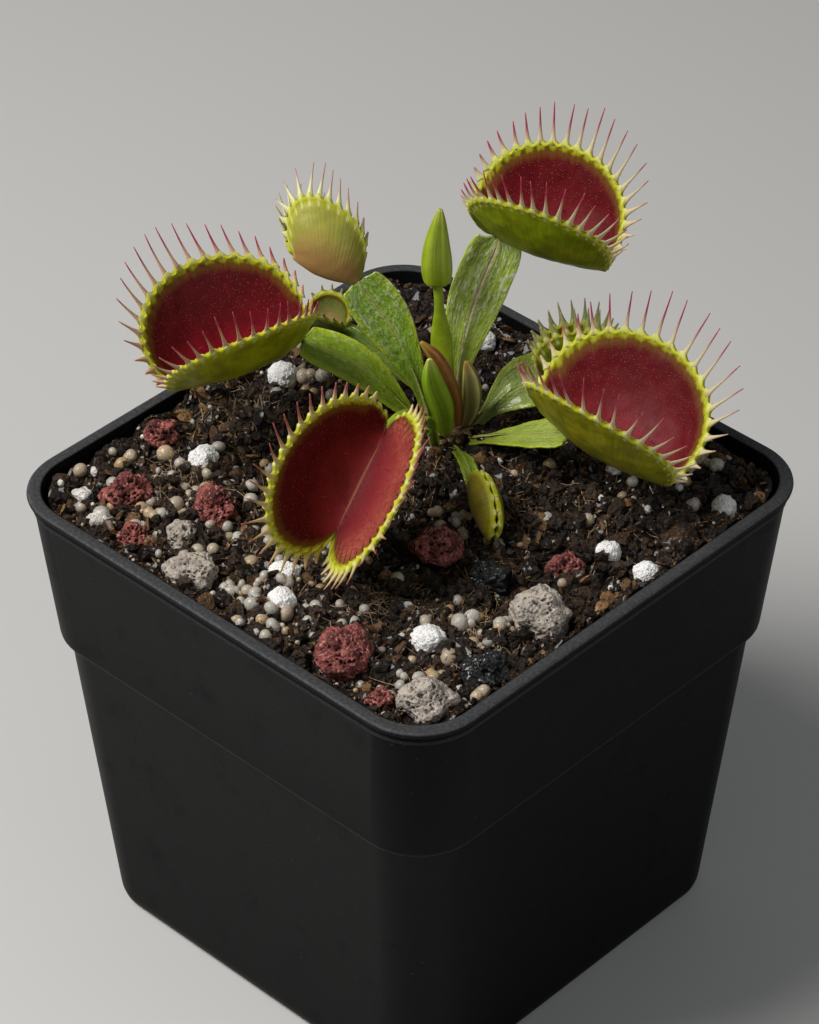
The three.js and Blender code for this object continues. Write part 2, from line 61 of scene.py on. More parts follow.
MM = 0.001
_, pot_high = (np.array(corner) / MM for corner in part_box("pot"))
RIM_HALF = float(pot_high[0])
POT_HEIGHT = float(pot_high[2])
COLLAR_DEPTH = 27
STEP_Z = POT_HEIGHT - COLLAR_DEPTH
COLLAR_TOP_HALF = 44.3
COLLAR_HALF = 42.25
BODY_HALF = 40.9
BASE_HALF = 36.2
WALL = 1.5
FLOOR = 1.8
DRAIN_RADIUS = 3
DRAIN_OFFSET = 22
SOIL_HALF = RIM_HALF - 2.9
SOIL_CORNER = 8.9
SOIL_GAP = 0.3
SOIL_BELOW_RIM = 3.2
SOIL_MOUND = 1.4
SOIL_BUMP = 0.55
PLAN_TURN = math.radians(43.5)
CROWN = np.array([6.1, 13.7, POT_HEIGHT - 2])
EAR_END = -0.93
SLOPE_STEP = 2e-3
SMALL_TRAP = 8
MARGIN_END_HEIGHT = 1.2
UPRIGHT_SHARE = 0.9
TIP_LEAN = 0.25
SHORTEST_SHARE = 0.2
STONE_LIFT = 0.2
STONE_STRETCH = ((0.9, 0.2), (0.85, 0.2), (0.82, 0.14))
STONE_CLEARANCE = 0.47
CROWN_CLEARANCE = 4.5
BANK = 1.6
BANK_WIDTH = 3.5
VERTICAL = np.array([0, 0, 1.0])


# Numbers on arrays
def lerp(a, b, t):
    """a where t is 0 and b where t is 1."""
    return a + (b - a) * t


def smoothstep(x, low, high):
    """3t2 - 2t3, where t runs from 0 at low to 1 at high."""
    t = np.clip((x - low) / (high - low), 0, 1)
    return t * t * (3 - 2 * t)


def unit(vectors):
    """Each vector divided by its length."""
    return vectors / np.maximum(np.linalg.norm(vectors, axis=-1, keepdims=True), 1e-9)


def noise(points, cell, seed):
    """Random values on a lattice of the given cell, blended smoothly between its corners."""
    table = np.random.default_rng(seed).uniform(-1, 1, (32, 32, 32))
    place = np.asarray(points) / cell
    base = np.floor(place).astype(int)
    blend = place - base
    blend = blend * blend * (3 - 2 * blend)
    total = 0
    for corner in np.ndindex(2, 2, 2):
        index = (base + corner) % 32
        weight = np.prod(np.where(corner, blend, 1 - blend), axis=-1)
        total = total + weight * table[index[..., 0], index[..., 1], index[..., 2]]
    return total


def fractal(points, cell, seed, octaves):
    """Noise plus the same at half the cell and half the height, and so on."""
    return sum(noise(points, cell / 2**k, seed + k) / 2**k for k in range(octaves))


def curve(points, t):
    """A centripetal Catmull-Rom curve through the points: each span is a cubic whose end
    slopes come from its neighbours, weighed by the square root of their distances."""
    p = np.asarray(points, float)
    p = np.vstack([2 * p[0] - p[1], p, 2 * p[-1] - p[-2]])
    spans = len(points) - 1
    place = np.clip(t, 0, 1) * spans
    first = np.minimum(place.astype(int), spans - 1)
    w = (place - first)[..., None]
    a, b, c, d = (p[first + k] for k in range(4))
    ab, bc, cd = (np.sqrt(np.linalg.norm(s, axis=-1, keepdims=True)) for s in (b - a, c - b, d - c))
    start = ((b - a) / ab - (c - a) / (ab + bc) + (c - b) / bc) * bc
    end = ((c - b) / bc - (d - b) / (bc + cd) + (d - c) / cd) * bc
    return b + start * w + (3 * (c - b) - 2 * start - end) * w**2 + (2 * (b - c) + start + end) * w**3


def tangent(points, t):
    """The curve's direction, from two points close together on it."""
    return unit(curve(points, np.clip(t + 1e-3, 0, 1)) - curve(points, np.clip(t - 1e-3, 0, 1)))


def to_pot(points):
    """Plan coordinates turned about Z into the pot's."""
    c, s = math.cos(PLAN_TURN), math.sin(PLAN_TURN)
    x, y = points[..., 0], points[..., 1]
    return np.stack([c * x - s * y, s * x + c * y, points[..., 2]], axis=-1)


def mound(x, y):
    """The soil's height: a low hill at the crown and two crossing waves."""
    near = np.exp(-((x - CROWN[0]) ** 2 + (y - CROWN[1]) ** 2) / 500)
    waves = np.sin(0.47 * x + 1.3) * np.cos(0.39 * y) + np.sin(0.83 * y + 0.31 * x)
    return POT_HEIGHT - SOIL_BELOW_RIM + SOIL_MOUND * near + SOIL_BUMP * waves


# Meshes
class Shape:
    """Gathers grids, tubes and copies into one mesh with values on its points."""

    def __init__(self):
        self.points, self.faces, self.slots, self.values, self.count = [], [], [], [], 0

    def add(self, points, faces, slot=0, **values):
        """Points with their faces, given as arrays of point numbers of equal length."""
        flat = points.reshape(-1, 3)
        for group in faces:
            self.faces.append(group.reshape(-1, group.shape[-1]) + self.count)
            self.slots.append(np.full(len(self.faces[-1]), slot))
        self.points.append(flat)
        full = {k: np.broadcast_to(v, points.shape[:-1]).reshape(-1) for k, v in values.items()}
        self.values.append((len(flat), full))
        self.count += len(flat)

    def sheet(self, outer, inner, slot=0, **values):
        """Two grids joined into a closed sheet: the outer grid, then the inner one backwards."""
        both = np.concatenate([outer, inner[:, ::-1]], axis=1)
        rows, columns = both.shape[:2]
        n = np.arange(rows * columns).reshape(rows, columns)
        side = np.roll(n, -1, axis=1)
        quads = np.stack([n[:-1], n[1:], side[1:], side[:-1]], axis=-1)
        half = columns // 2
        front, back = n[:, :half], n[:, half:][:, ::-1]
        start = np.stack([front[0, :-1], front[0, 1:], back[0, 1:], back[0, :-1]], axis=-1)
        end = np.stack([front[-1, 1:], front[-1, :-1], back[-1, :-1], back[-1, 1:]], axis=-1)
        full = {k: np.concatenate([v, v[:, ::-1]], axis=1) for k, v in values.items()}
        inside = np.broadcast_to(np.arange(columns) >= half, (rows, columns)).astype(float)
        self.add(both, [quads.reshape(-1, 4), start, end], slot, inner=inside, **full)

    def rings(self, rings, slot=0, **values):
        """Rings of equal count joined into tubes along the last but two axis, ends closed."""
        *_, steps, sides, _ = rings.shape
        n = np.arange(rings[..., 0].size).reshape(-1, steps, sides)
        turn = np.roll(n, -1, axis=2)
        quads = np.stack([n[:, :-1], turn[:, :-1], turn[:, 1:], n[:, 1:]], axis=-1)
        self.add(rings, [quads.reshape(-1, 4), n[:, 0, ::-1], n[:, -1]], slot, **values)

    def tubes(self, centres, across, front, sides, slot=0, **values):
        """Oval tubes: each ring is its centre plus across and front times sine and cosine."""
        angle = np.linspace(0, 2 * np.pi, sides, endpoint=False)
        ring = (centres[..., None, :] + across[..., None, :] * np.sin(angle)[:, None]
                + front[..., None, :] * np.cos(angle)[:, None])
        self.rings(ring, slot, **{k: v[..., None] for k, v in values.items()})

    def build(self, name, slot, materials, replaces=(), crease=None):
        """The mesh and its object, which rides on the root."""
        mesh = bpy.data.meshes.new(name)
        points = np.concatenate(self.points) * MM
        mesh.vertices.add(len(points))
        mesh.vertices.foreach_set("co", points.ravel())
        sizes = np.concatenate([np.full(len(f), f.shape[1]) for f in self.faces])
        mesh.loops.add(int(sizes.sum()))
        mesh.loops.foreach_set("vertex_index", np.concatenate([f.ravel() for f in self.faces]))
        mesh.polygons.add(len(sizes))
        mesh.polygons.foreach_set("loop_start", np.concatenate([[0], np.cumsum(sizes)[:-1]]))
        mesh.polygons.foreach_set("material_index", np.concatenate(self.slots))
        mesh.polygons.foreach_set("use_smooth", np.ones(len(sizes), bool))
        for key in sorted({k for _, values in self.values for k in values}):
            column = [values.get(key, np.zeros(size)) for size, values in self.values]
            mesh.attributes.new(key, "FLOAT", "POINT").data.foreach_set("value", np.concatenate(column))
        mesh.update(calc_edges=True)
        mesh.validate()
        if crease:
            mesh.set_sharp_from_angle(angle=math.radians(crease))
        for material in materials:
            mesh.materials.append(material)
        obj = bpy.data.objects.new(name, mesh)
        bpy.context.scene.collection.objects.link(obj)
        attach(obj, "root")
        if replaces:
            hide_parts(*replaces)
        return obj


def ball(level):
    """An icosphere's points and triangles."""
    bm = bmesh.new()
    bmesh.ops.create_icosphere(bm, subdivisions=level, radius=1)
    bm.verts.ensure_lookup_table()
    points = np.array([v.co[:] for v in bm.verts])
    faces = np.array([[v.index for v in f.verts] for f in bm.faces])
    bm.free()
    return points, faces


def rounded_square(half, radius, z, corner_steps, side_steps):
    """Four quarter circles joined by straight sides, as rows of points at one height."""
    angle = np.linspace(0, np.pi / 2, corner_steps + 1)
    arc = half - radius + radius * np.stack([np.cos(angle), np.sin(angle)], axis=-1)
    along = lerp(half - radius, radius - half, np.arange(1, side_steps) / side_steps)
    side = np.stack([along, np.full(len(along), half)], axis=-1)
    quarter = np.concatenate([arc, side])
    quarter_turn = np.array([[0, -1], [1, 0]])
    ring, turn = [], np.eye(2)
    for _ in range(4):
        ring.append(quarter @ turn.T)
        turn = quarter_turn @ turn
    flat = np.concatenate(ring)
    return np.concatenate([flat, np.full((len(flat), 1), z)], axis=1)


# Shaders
class Value:
    """A socket whose operators add Math nodes."""

    def __init__(self, shader, socket):
        self.shader, self.socket = shader, socket

    def math(self, operation, *others):
        inputs = dict(enumerate((self, *others)))
        return self.shader.node("ShaderNodeMath", {"operation": operation}, inputs)

    def __add__(self, other): return self.math("ADD", other)
    def __radd__(self, other): return self.math("ADD", other)
    def __sub__(self, other): return self.math("SUBTRACT", other)
    def __rsub__(self, other): return (self * -1).math("ADD", other)
    def __mul__(self, other): return self.math("MULTIPLY", other)
    def __rmul__(self, other): return self.math("MULTIPLY", other)

    def sine(self): return self.math("SINE")
    def size(self): return self.math("ABSOLUTE")

    def step(self, low, high):
        """A smooth step from 0 at low to 1 at high, or the other way when high is less."""
        if low > high:
            return 1 - self.step(high, low)
        settings = {"interpolation_type": "SMOOTHSTEP", "clamp": True}
        return self.shader.node("ShaderNodeMapRange", settings, {0: self, 1: low, 2: high, 3: 0.0, 4: 1.0})


class Shader:
    """A material with one Principled shader."""

    def __init__(self, name, roughness=0.5, **constants):
        self.material = bpy.data.materials.new(name)
        self.material.use_nodes = True
        self.tree = self.material.node_tree
        self.surface = self.tree.nodes["Principled BSDF"]
        self.put(self.surface, {"Roughness": roughness})
        self.put(self.surface, {k.replace("_", " "): v for k, v in constants.items()})

    def put(self, node, inputs):
        for key, value in inputs.items():
            if isinstance(value, Value):
                self.tree.links.new(value.socket, node.inputs[key])
            elif isinstance(value, tuple) and len(value) == 3 and node.inputs[key].type == "RGBA":
                node.inputs[key].default_value = (*value, 1)
            else:
                node.inputs[key].default_value = value

    def node(self, kind, settings=None, inputs=None, output=0):
        """Any node: its settings first, then the values or links of its sockets."""
        node = self.tree.nodes.new(kind)
        for key, value in (settings or {}).items():
            setattr(node, key, value)
        self.put(node, inputs or {})
        return Value(self, node.outputs[output])

    def value(self, name):
        return self.node("ShaderNodeAttribute", {"attribute_name": name}, output="Fac")

    def place(self):
        return self.node("ShaderNodeTexCoord", output="Object")

    def vector(self, x, y, z=0.0):
        return self.node("ShaderNodeCombineXYZ", inputs={0: x, 1: y, 2: z})

    def noise(self, cell, detail=3.0, vector=None, rough=0.5):
        """Noise from 0 to 1 whose largest lumps are about the cell, in metres, across."""
        inputs = {"Vector": vector or self.place(), "Scale": 1 / cell,
                  "Detail": detail, "Roughness": rough}
        return self.node("ShaderNodeTexNoise", inputs=inputs)

    def cells(self, cell):
        """The distance to the nearest of scattered points about a cell apart."""
        inputs = {"Vector": self.place(), "Scale": 1 / cell}
        return self.node("ShaderNodeTexVoronoi", inputs=inputs, output="Distance")

    def mix(self, factor, a, b):
        """Colour a where the factor is 0 and b where it is 1."""
        settings = {"data_type": "RGBA", "clamp_factor": True}
        return self.node("ShaderNodeMix", settings, {0: factor, 6: a, 7: b}, 2)

    def finish(self, colour, roughness=None, height=None, depth=0.1, strength=1.0):
        """Links the colour and roughness, and a bump whose height is in depth millimetres."""
        self.put(self.surface, {"Base Color": colour})
        if roughness is not None:
            self.put(self.surface, {"Roughness": roughness})
        if height is not None:
            inputs = {"Strength": strength, "Distance": depth * MM, "Height": height}
            self.put(self.surface, {"Normal": self.node("ShaderNodeBump", inputs=inputs)})
        return self.material


LIVING = {"Subsurface_Weight": 0.06, "Subsurface_Scale": 0.0015, "Subsurface_Radius": (0.8, 0.9, 0.2)}


def blade_material(name, green, edge, rib, painted_highlight, gloss):
    """A winged stalk: crinkled and glossy with painted highlights on its crinkles, faint veins along it, a light
    rib, yellower edges.
    """
    s = Shader(name, Coat_Weight=gloss, Coat_Roughness=0.15, Specular_IOR_Level=0.2, **LIVING)
    side, along = s.value("side"), s.value("along")
    patches = s.noise(4 * MM, 4)
    veins = s.noise(0.5, 3, s.vector(side * 7, along * 1.6, patches))
    crinkle = s.noise(0.5, 3, s.vector(side * 5, along * 14, patches * 1.4))
    colour = s.mix(patches.step(0.38, 0.62), tuple(0.8 * c for c in green), green)
    colour = s.mix(veins.step(0.46, 0.62) * 0.2, colour, tuple(1.5 * c for c in green))
    colour = s.mix(side.size().step(0.6, 1.0) * 0.6, colour, edge)
    colour = s.mix(side.size().step(0.93, 1.0) * 0.5, colour, tuple(1.25 * c for c in edge))
    # Painted highlight: pale patches on the crinkles towards the stalk's top stand in for glints of its gloss
    colour = s.mix(crinkle.step(0.5, 0.66) * along.step(0.4, 0.8) * painted_highlight, colour, (0.6, 0.66, 0.44))
    colour = s.mix(along.step(0.4, 0.0) * 0.5, colour, (0.3, 0.33, 0.05))
    colour = s.mix(side.size().step(0.2, 0.05) * 0.85, colour, rib)
    bumps = crinkle * 0.9 + veins * 0.4 + s.noise(0.5 * MM, 2) * 0.25
    return s.finish(colour, s.noise(1.3 * MM, 3).step(0.3, 0.75) * 0.3 + 0.26, bumps, 0.5, 0.9)


def trap_material(name, cilia, band, outside, shade, blush, dotted, deep, flush, sunlit):
    """A trap: mottled green outside with light dots between its teeth, inside red with fine
    glands and painted shadows of the cilia as dark rays below them, up to a green margin.
    Sunlit paints one lobe's inside lighter, as painted light."""
    s = Shader(name, Specular_IOR_Level=0.14, **LIVING)
    inner, edge, reach, along, lobe = (s.value(k) for k in ("inner", "edge", "reach", "along", "lobe"))
    patches, fine = s.noise(3.4 * MM, 4), s.noise(0.22 * MM, 2)
    teeth = (along * (2 * math.pi * cilia) + math.pi / 2).sine()
    ribs = s.noise(0.5, 2, s.vector(along * 28, reach * 1.1, inner * 5))
    glands = s.cells(0.4 * MM)
    lime = (0.47, 0.5, 0.02)
    back = s.mix(patches.step(0.36, 0.66), outside, tuple(shade * c for c in outside))
    back = s.mix(ribs.step(0.42, 0.68) * 0.14, back, lime)
    back = s.mix(s.noise(5 * MM, 2).step(0.55, 0.75) * 0.2, back, (0.24, 0.1, 0.03))
    back = s.mix((reach + patches * 0.3).step(0.85, 0.35) * blush, back, (0.34, 0.19, 0.07))
    back = s.mix(edge.step(2.2, 0.3) * 0.75, back, lime)
    dots = teeth.step(-0.3, -0.9) * edge.step(0.6, 1.0) * edge.step(1.8, 1.3)
    back = s.mix(dots * dotted, back, (0.72, 0.7, 0.3))
    face = s.mix(reach.step(0.6, 0.0), deep, flush)
    face = s.mix(patches.step(0.35, 0.7) * 0.45, face, tuple(0.55 * c for c in deep))
    face = s.mix(reach.step(0.45, 0.9) * 0.3, face, tuple(0.6 * c for c in deep))
    # Painted light: the sunlit lobe's inside gets a lighter colour where light falls on it
    lit = s.mix(reach.step(0.1, 0.7), (0.2, 0.014, 0.03), (0.44, 0.11, 0.07))
    lit = s.mix(patches.step(0.45, 0.7) * 0.6, lit, (0.26, 0.03, 0.03))
    lit = s.mix(s.noise(0.55 * MM, 2).step(0.42, 0.6) * 0.65, lit, (0.22, 0.026, 0.024))
    face = s.mix(lobe * sunlit, face, lit)
    face = s.mix(glands.step(0.24, 0.1) * 0.5 * reach.step(0.1, 0.7), face, (0.5, 0.15, 0.14))
    face = s.mix((fine - 0.5) * 1.3 * reach.step(0.9, 0.0), face, tuple(1.9 * c for c in flush))
    face = s.mix(reach.step(0.018, 0.006) * 0.7, face, (0.5, 0.2, 0.1))
    line = edge + teeth * 0.12 + (patches - 0.5) * 0.5 + (ribs - 0.5) * 1.1
    face = s.mix(line.step(band + 1.9, band + 0.3) * 0.75, face, (0.16, 0.075, 0.008))
    face = s.mix(line.step(band + 0.35, band - 0.35), face, (0.36, 0.37, 0.012))
    face = s.mix(line.step(0.95, 0.3) * 0.8, face, (0.55, 0.57, 0.05))
    # Painted shadows of the cilia: dark rays on the inside below each cilium, stronger on the sunlit lobe
    cilium_shadow = teeth.step(-0.7, -0.95) * edge.step(1.0, 1.6) * edge.step(4.6, 2.4) * (lobe * sunlit * 0.8 + 0.25)
    face = s.mix(cilium_shadow, face, (0.045, 0.008, 0.008))
    both = s.mix(inner, back, face)
    colour = s.mix(edge.step(0.4, 0.1) * teeth.step(0.2, 0.9) * 0.25, both, (0.35, 0.12, 0.03))
    colour = s.mix(edge.step(1.0, 0.3) * teeth.step(-0.1, -0.8) * 0.75, colour, (0.68, 0.68, 0.24))
    bumps = patches * 0.6 + fine * 0.3 - glands.step(0.3, 0.0) * inner * 0.5 + ribs * 0.3
    return s.finish(colour, s.noise(1.1 * MM) * 0.2 + inner * 0.16 + 0.24, bumps, 0.16, 0.8)


def cilium_material(name, middle, tip):
    """A tooth of the margin: the margin's colour at its root and rosy towards its tip."""
    s = Shader(name, 0.38, **LIVING)
    along, own = s.value("along"), s.value("own")
    colour = s.mix(along.step(0.02, 0.16), (0.6, 0.58, 0.14), middle)
    colour = s.mix((along - own * 0.45).step(0.06, 0.5), colour, tip)
    return s.finish(colour, None, s.noise(0.3 * MM), 0.04)


def pod_material(name, base, line, tip, ribs, depth):
    """A folded young leaf: ridges along it, darker between them, and its own tip."""
    s = Shader(name, Coat_Weight=0.3, Coat_Roughness=0.25, **LIVING)
    side, along = s.value("side"), s.value("along")
    patches = s.noise(1.8 * MM, 3)
    stripes = (side * (math.pi * ribs) + patches * 1.5).sine()
    colour = s.mix(patches.step(0.35, 0.7) * 0.6, base, tuple(0.6 * c for c in base))
    colour = s.mix(stripes.step(0.1, 0.95) * depth, colour, line)
    colour = s.mix(side.size().step(0.8, 0.95) * 0.4, colour, line)
    # Painted shade: a dark line down the groove where the pod's halves meet
    colour = s.mix(side.size().step(0.97, 0.99) * 0.45, colour, tuple(0.3 * c for c in base))
    colour = s.mix(along.step(0.78, 1.0) * 0.8, colour, tip)
    return s.finish(colour, s.noise(1 * MM) * 0.2 + 0.26, stripes * 0.4 + patches, 0.16, 0.7)


def grit_material(name, base, dark, spot, cell=0.7, roughness=0.9, depth=0.3, gloss=0.0):
    """A crumbly or porous grain: patches of two colours, pits darkened by painted shade, and light flecks."""
    s = Shader(name, roughness, Coat_Weight=gloss, Coat_Roughness=0.12, Specular_IOR_Level=0.25)
    own = s.value("own")
    patches = s.noise(2.4 * MM, 6, rough=0.7)
    pits = s.cells(cell * MM)
    colour = s.mix(patches.step(0.4, 0.62), base, dark)
    colour = s.mix(own, colour, spot)
    colour = s.mix(s.noise(0.45 * MM, 2).step(0.58, 0.7) * 0.6, colour, spot)
    # Painted shade: darker in the small pores, and below in a stone's deep pits
    colour = s.mix(pits.step(0.36, 0.12) * 0.85, colour, tuple(0.25 * c for c in dark))
    colour = s.mix(s.value("pit").step(0.25, 0.9) * 0.85, colour, tuple(0.12 * c for c in dark))
    return s.finish(colour, None, patches * 0.8 + pits * 0.9 + s.noise(0.25 * MM, 2) * 0.5, depth)


def bead_material(name, clear, dark):
    """A rounded quartz grain: clear and glossy, each with a tint of its own."""
    s = Shader(name, 0.16, Subsurface_Weight=0.2, Subsurface_Scale=0.001,
               Subsurface_Radius=(1.0, 0.85, 0.6), Transmission_Weight=0.58, IOR=1.4)
    own = s.value("own")
    clouds, dirt = s.noise(0.9 * MM, 3), s.noise(0.5 * MM, 3)
    colour = s.mix(own, clear, dark)
    colour = s.mix(clouds.step(0.45, 0.7) * 0.55, colour, tuple(0.75 * c for c in clear))
    colour = s.mix(dirt.step(0.64, 0.74) * 0.3, colour, (0.08, 0.05, 0.03))
    return s.finish(colour, clouds * 0.3 + 0.12, s.noise(0.4 * MM, 2), 0.06)


def plastic_material(colour):
    """Black moulded plastic with a fine grain, a little dust and lighter edges, partly worn and partly painted
    highlight.
    """
    s = Shader("pot_plastic_black", Specular_IOR_Level=0.06)
    worn = s.value("worn")
    dust = s.noise(7 * MM, 5, rough=0.65).step(0.5, 0.78)
    fleck = s.cells(1.9 * MM).step(0.09, 0.04) * s.noise(9 * MM).step(0.5, 0.62)
    rub = s.noise(0.6 * MM, 4, rough=0.7).step(0.4, 0.65)
    shade = s.mix(dust * 0.3, colour, tuple(2.6 * c for c in colour))
    shade = s.mix(fleck * 0.5, shade, (0.12, 0.11, 0.095))
    # Wear and painted highlight: the rim's edges and ridges made lighter
    shade = s.mix(worn * (rub * 0.35 + 0.55), shade, (0.085, 0.087, 0.092))
    grain = s.noise(0.35 * MM, 3)
    return s.finish(shade, dust * 0.1 + grain * 0.12 + 0.42, grain, 0.04, 0.8)


# Settings
def size_value(name, text, default):
    return bpy.props.FloatProperty(name=name, description=text, default=default, min=0.0, unit="NONE")


def colour_value(name, text, default):
    return bpy.props.FloatVectorProperty(name=name, description=text, default=default, size=3,
                                         min=0.0, max=1.0, subtype="COLOR")


class PlantSettings(bpy.types.PropertyGroup):
    blade_thickness: size_value("Blade thickness", "Thickness of a leaf blade, in mm", 0.55)
    trap_thickness: size_value("Trap thickness", "Thickness of a trap's wall, in mm", 0.6)
    band: size_value("Green band", "Width of the green band inside the margin, in mm", 1.25)
    cilium_radius: size_value("Cilium radius", "Half thickness of a cilium past its root, in mm", 0.25)
    leaf_green: colour_value("Leaf green", "Colour of the winged stalks", (0.17, 0.28, 0.01))
    leaf_edge: colour_value("Leaf edge", "Colour of their edges", (0.34, 0.42, 0.02))
    trap_green: colour_value("Trap green", "Colour outside a trap", (0.27, 0.28, 0.008))
    trap_red: colour_value("Trap red", "Colour inside an open trap", (0.12, 0.0035, 0.006))


class SoilSettings(bpy.types.PropertyGroup):
    crumbs: bpy.props.IntProperty(name="Crumbs", description="Number of peat crumbs", default=2400, min=0)
    grit: bpy.props.IntProperty(name="Grit", description="Number of fine grains", default=8000, min=0)
    fibres: bpy.props.IntProperty(name="Fibres", description="Number of peat fibres", default=900, min=0)
    beads: bpy.props.IntProperty(name="Beads", description="Number of quartz grains", default=330, min=0)
    roughness: size_value("Surface relief", "Height of the soil's lumps, in mm", 0.85)
    peat: colour_value("Peat", "Colour of the peat", (0.015, 0.009, 0.006))


class PotSettings(bpy.types.PropertyGroup):
    plastic: colour_value("Plastic", "Colour of the pot", (0.003, 0.003, 0.0034))


class StageSettings(bpy.types.PropertyGroup):
    floor: colour_value("Floor", "Colour of the floor", (0.56, 0.555, 0.545))
    key: size_value("Key light", "Power of the main soft light, in watts", 6.8)
    fill: size_value("Fill light", "Power of the opposite soft light, in watts", 1.0)


# Leaves. Every place is from the crown: right, away, up, in mm. A pair of numbers, as in
# spread, is for the trap's first lobe and its second. Angles are in degrees.
BLADE = dict(base=1.0, wide=3.6, swell=(0.15, 0.75), shoulder=0.8, fold=16, ear=1.4, wave=0.03, stalk=0.95)
TRAP = dict(turn=2.6, pinch=0.6, bow=1.0, skew=0, cilia=18, bristle=6, sweep=1.2, bare=2, red=True)
LEAVES = {
    "leaf_left": (
        dict(rib=[(-3.9, 0.6, 0.6), (-7.5, 2.2, 4.5), (-14, 5.2, 9.6), (-23, 7.7, 13.2)],
             face=(0.1, -0.45, 0.9)),
        dict(hinge=[(-23, 7.8, 14.1), (-41.9, -5.6, 14.1)], up=(0, 0, 1), height=18.6, centre=6.6, ahead=3.6,
             behind=(-0.8, 2.2), spread=(23, 30), turn=3.1, bow=0.4, cilia=23, bristle=8,
             sweep=3)),
    "leaf_front": (
        dict(rib=[(-2.1, -3.2, 0.6), (-3.2, -6, 7), (-5.8, -12, 12.8), (-9.8, -17.8, 13)],
             face=(-0.2, -0.5, 0.85), wide=2.2, base=0.9),
        dict(hinge=[(-10.4, -18.5, 13.8), (-17.2, -30, 5.1)], up=(-0.25, -0.6, 0.79), height=17.6,
             centre=6.7, ahead=5.7, behind=(5.5, 5.5), spread=(28.5, 13), turn=3.4, pinch=0.05, bow=-0.15,
             skew=0.28, cilia=24, bristle=7, sweep=0.6)),
    "leaf_right": (
        dict(rib=[(3.5, -1.6, 0.6), (8, -4, 3), (13.2, -7.6, 6), (18.5, -10.8, 8.8)], face=(0, -0.3, 1),
             wide=3.3),
        dict(hinge=[(18.5, -10.9, 9.4), (32.2, -21.1, 7.7)], up=(0.25, 0.12, 1), height=20.8, centre=7.1,
             ahead=3.2, behind=(8.8, 6.4), spread=(15, 34.5), turn=2.9, pinch=0.48, bow=0.2, cilia=22, bristle=9,
             sweep=1.4)),
    "leaf_tall": (
        dict(rib=[(1.4, 3.6, 0.8), (1.4, 5.6, 9), (3.5, 8.2, 19.5), (7.7, 9.9, 31.3)], face=(0, -0.9, 0.35),
             wide=4.5, ear=2.4, shoulder=0.85),
        dict(hinge=[(7.6, 9.9, 31.9), (23.8, 2.8, 30.6)], up=(0.06, 0, 1), height=17.7, centre=5.9,
             ahead=1.2, behind=(5.7, 4.3), spread=(20.5, 19.5), turn=3.25, pinch=0.55, bow=0.2, cilia=24,
             bristle=8, sweep=1.4)),
    "leaf_pale": (
        dict(rib=[(-2.9, 2.5, 0.8), (-5.4, 5.8, 8), (-9.5, 9.2, 15.5), (-14.3, 11.5, 22.2)],
             face=(0, -0.8, 0.5), wide=4.2),
        dict(hinge=[(-14.3, 11.5, 22.4), (-23.9, 13, 25.8)], up=(0.15, 0.8, 0.55), height=12, centre=4.4,
             ahead=2.2, behind=(0.6, 0.6), spread=(6, 6), pinch=0.3, skew=0.3, cilia=15, bristle=6, sweep=3,
             red=False)),
    "leaf_back": (
        dict(rib=[(3.5, 1.5, 0.7), (7, 3.6, 3.6), (11, 5.4, 5.8), (15.7, 6.8, 7)], face=(0.1, -0.5, 0.85),
             wide=4.6),
        dict(hinge=[(15.7, 6.8, 7.2), (24.8, 7.6, 8.4)], up=(0.05, 0.45, 0.9), height=9.8, centre=3.6,
             ahead=1.6, behind=(2, 2), spread=(8, 8), pinch=0.3, bow=0.4, cilia=14, bristle=4, red=False)),
    "leaf_far": (
        dict(rib=[(-1.2, 3.9, 0.6), (-5.5, 9.5, 3.6), (-12, 14.5, 6.6), (-17, 17.6, 8.4)],
             face=(0, -0.5, 0.85), wide=1.8, base=0.8),
        dict(hinge=[(-17, 17.6, 8.5), (-22, 20, 9)], up=(0, -0.1, 1), height=6, centre=2, ahead=0.8,
             behind=(1, 1), spread=(14, 14), bow=0.3, cilia=8, bristle=1.6, bare=0, red=False)),
    "leaf_low": (
        dict(rib=[(0.9, -3.9, 0.4), (1.6, -8.6, 3.2), (2.6, -13.2, 4.9), (3.6, -17.4, 4.2)],
             face=(0, -0.3, 1), wide=1.3, base=0.8, stalk=0.8),
        dict(hinge=[(3.4, -17.5, 4), (5.9, -27.3, 1.6)], up=(0.35, -0.3, 0.85), height=7.2, centre=2.5,
             ahead=0.6, behind=(0.8, 0.8), spread=(-64, -64), turn=1.3, pinch=0.2, bow=0.2, cilia=8,
             bristle=1, bare=0, red=False)),
}


def blade_surface(leaf):
    """A petiole: from its rib, each wing goes out by its half width at the fold angle. The
    half width swells by a smooth step and ends in an elliptic shoulder. The edges run ahead
    of the rib by the ear times the square of both ways, and fall back at the very end."""
    rib, face, fold = leaf["rib"], np.array(leaf["face"]), math.radians(leaf["fold"])
    fine = curve(rib, np.linspace(0, 1, 200))
    length = np.linalg.norm(np.diff(fine, axis=0), axis=1).sum()

    def surface(u, v):
        t = np.clip(u, 0, 1)
        side = 2 * v - 1
        past = np.maximum(0, (t - leaf["shoulder"]) / (1 - leaf["shoulder"]))
        shoulder = np.sqrt(np.maximum(0, 1 - past**2))
        half = lerp(leaf["base"], leaf["wide"], smoothstep(t, *leaf["swell"]) * shoulder)
        forward = tangent(rib, t)
        across = unit(np.cross(forward, face))
        front = np.cross(across, forward)
        reach = half * side
        ripple = leaf["wave"] * half * side**2 * np.sin(9 * t + 2 * side)
        frill = 0.1 * side**4 * np.sin(31 * t + 3 * side) * smoothstep(t, 0.2, 0.6)
        ear = leaf["ear"] * side**2 * t**2 * smoothstep(-t, -1, EAR_END)
        ahead = ear + (u - t) * length
        rise = np.abs(reach) * math.sin(fold) + ripple + frill
        return (curve(rib, t) + forward * ahead[..., None] + across * (reach * math.cos(fold))[..., None]
                + front * rise[..., None])
    return surface


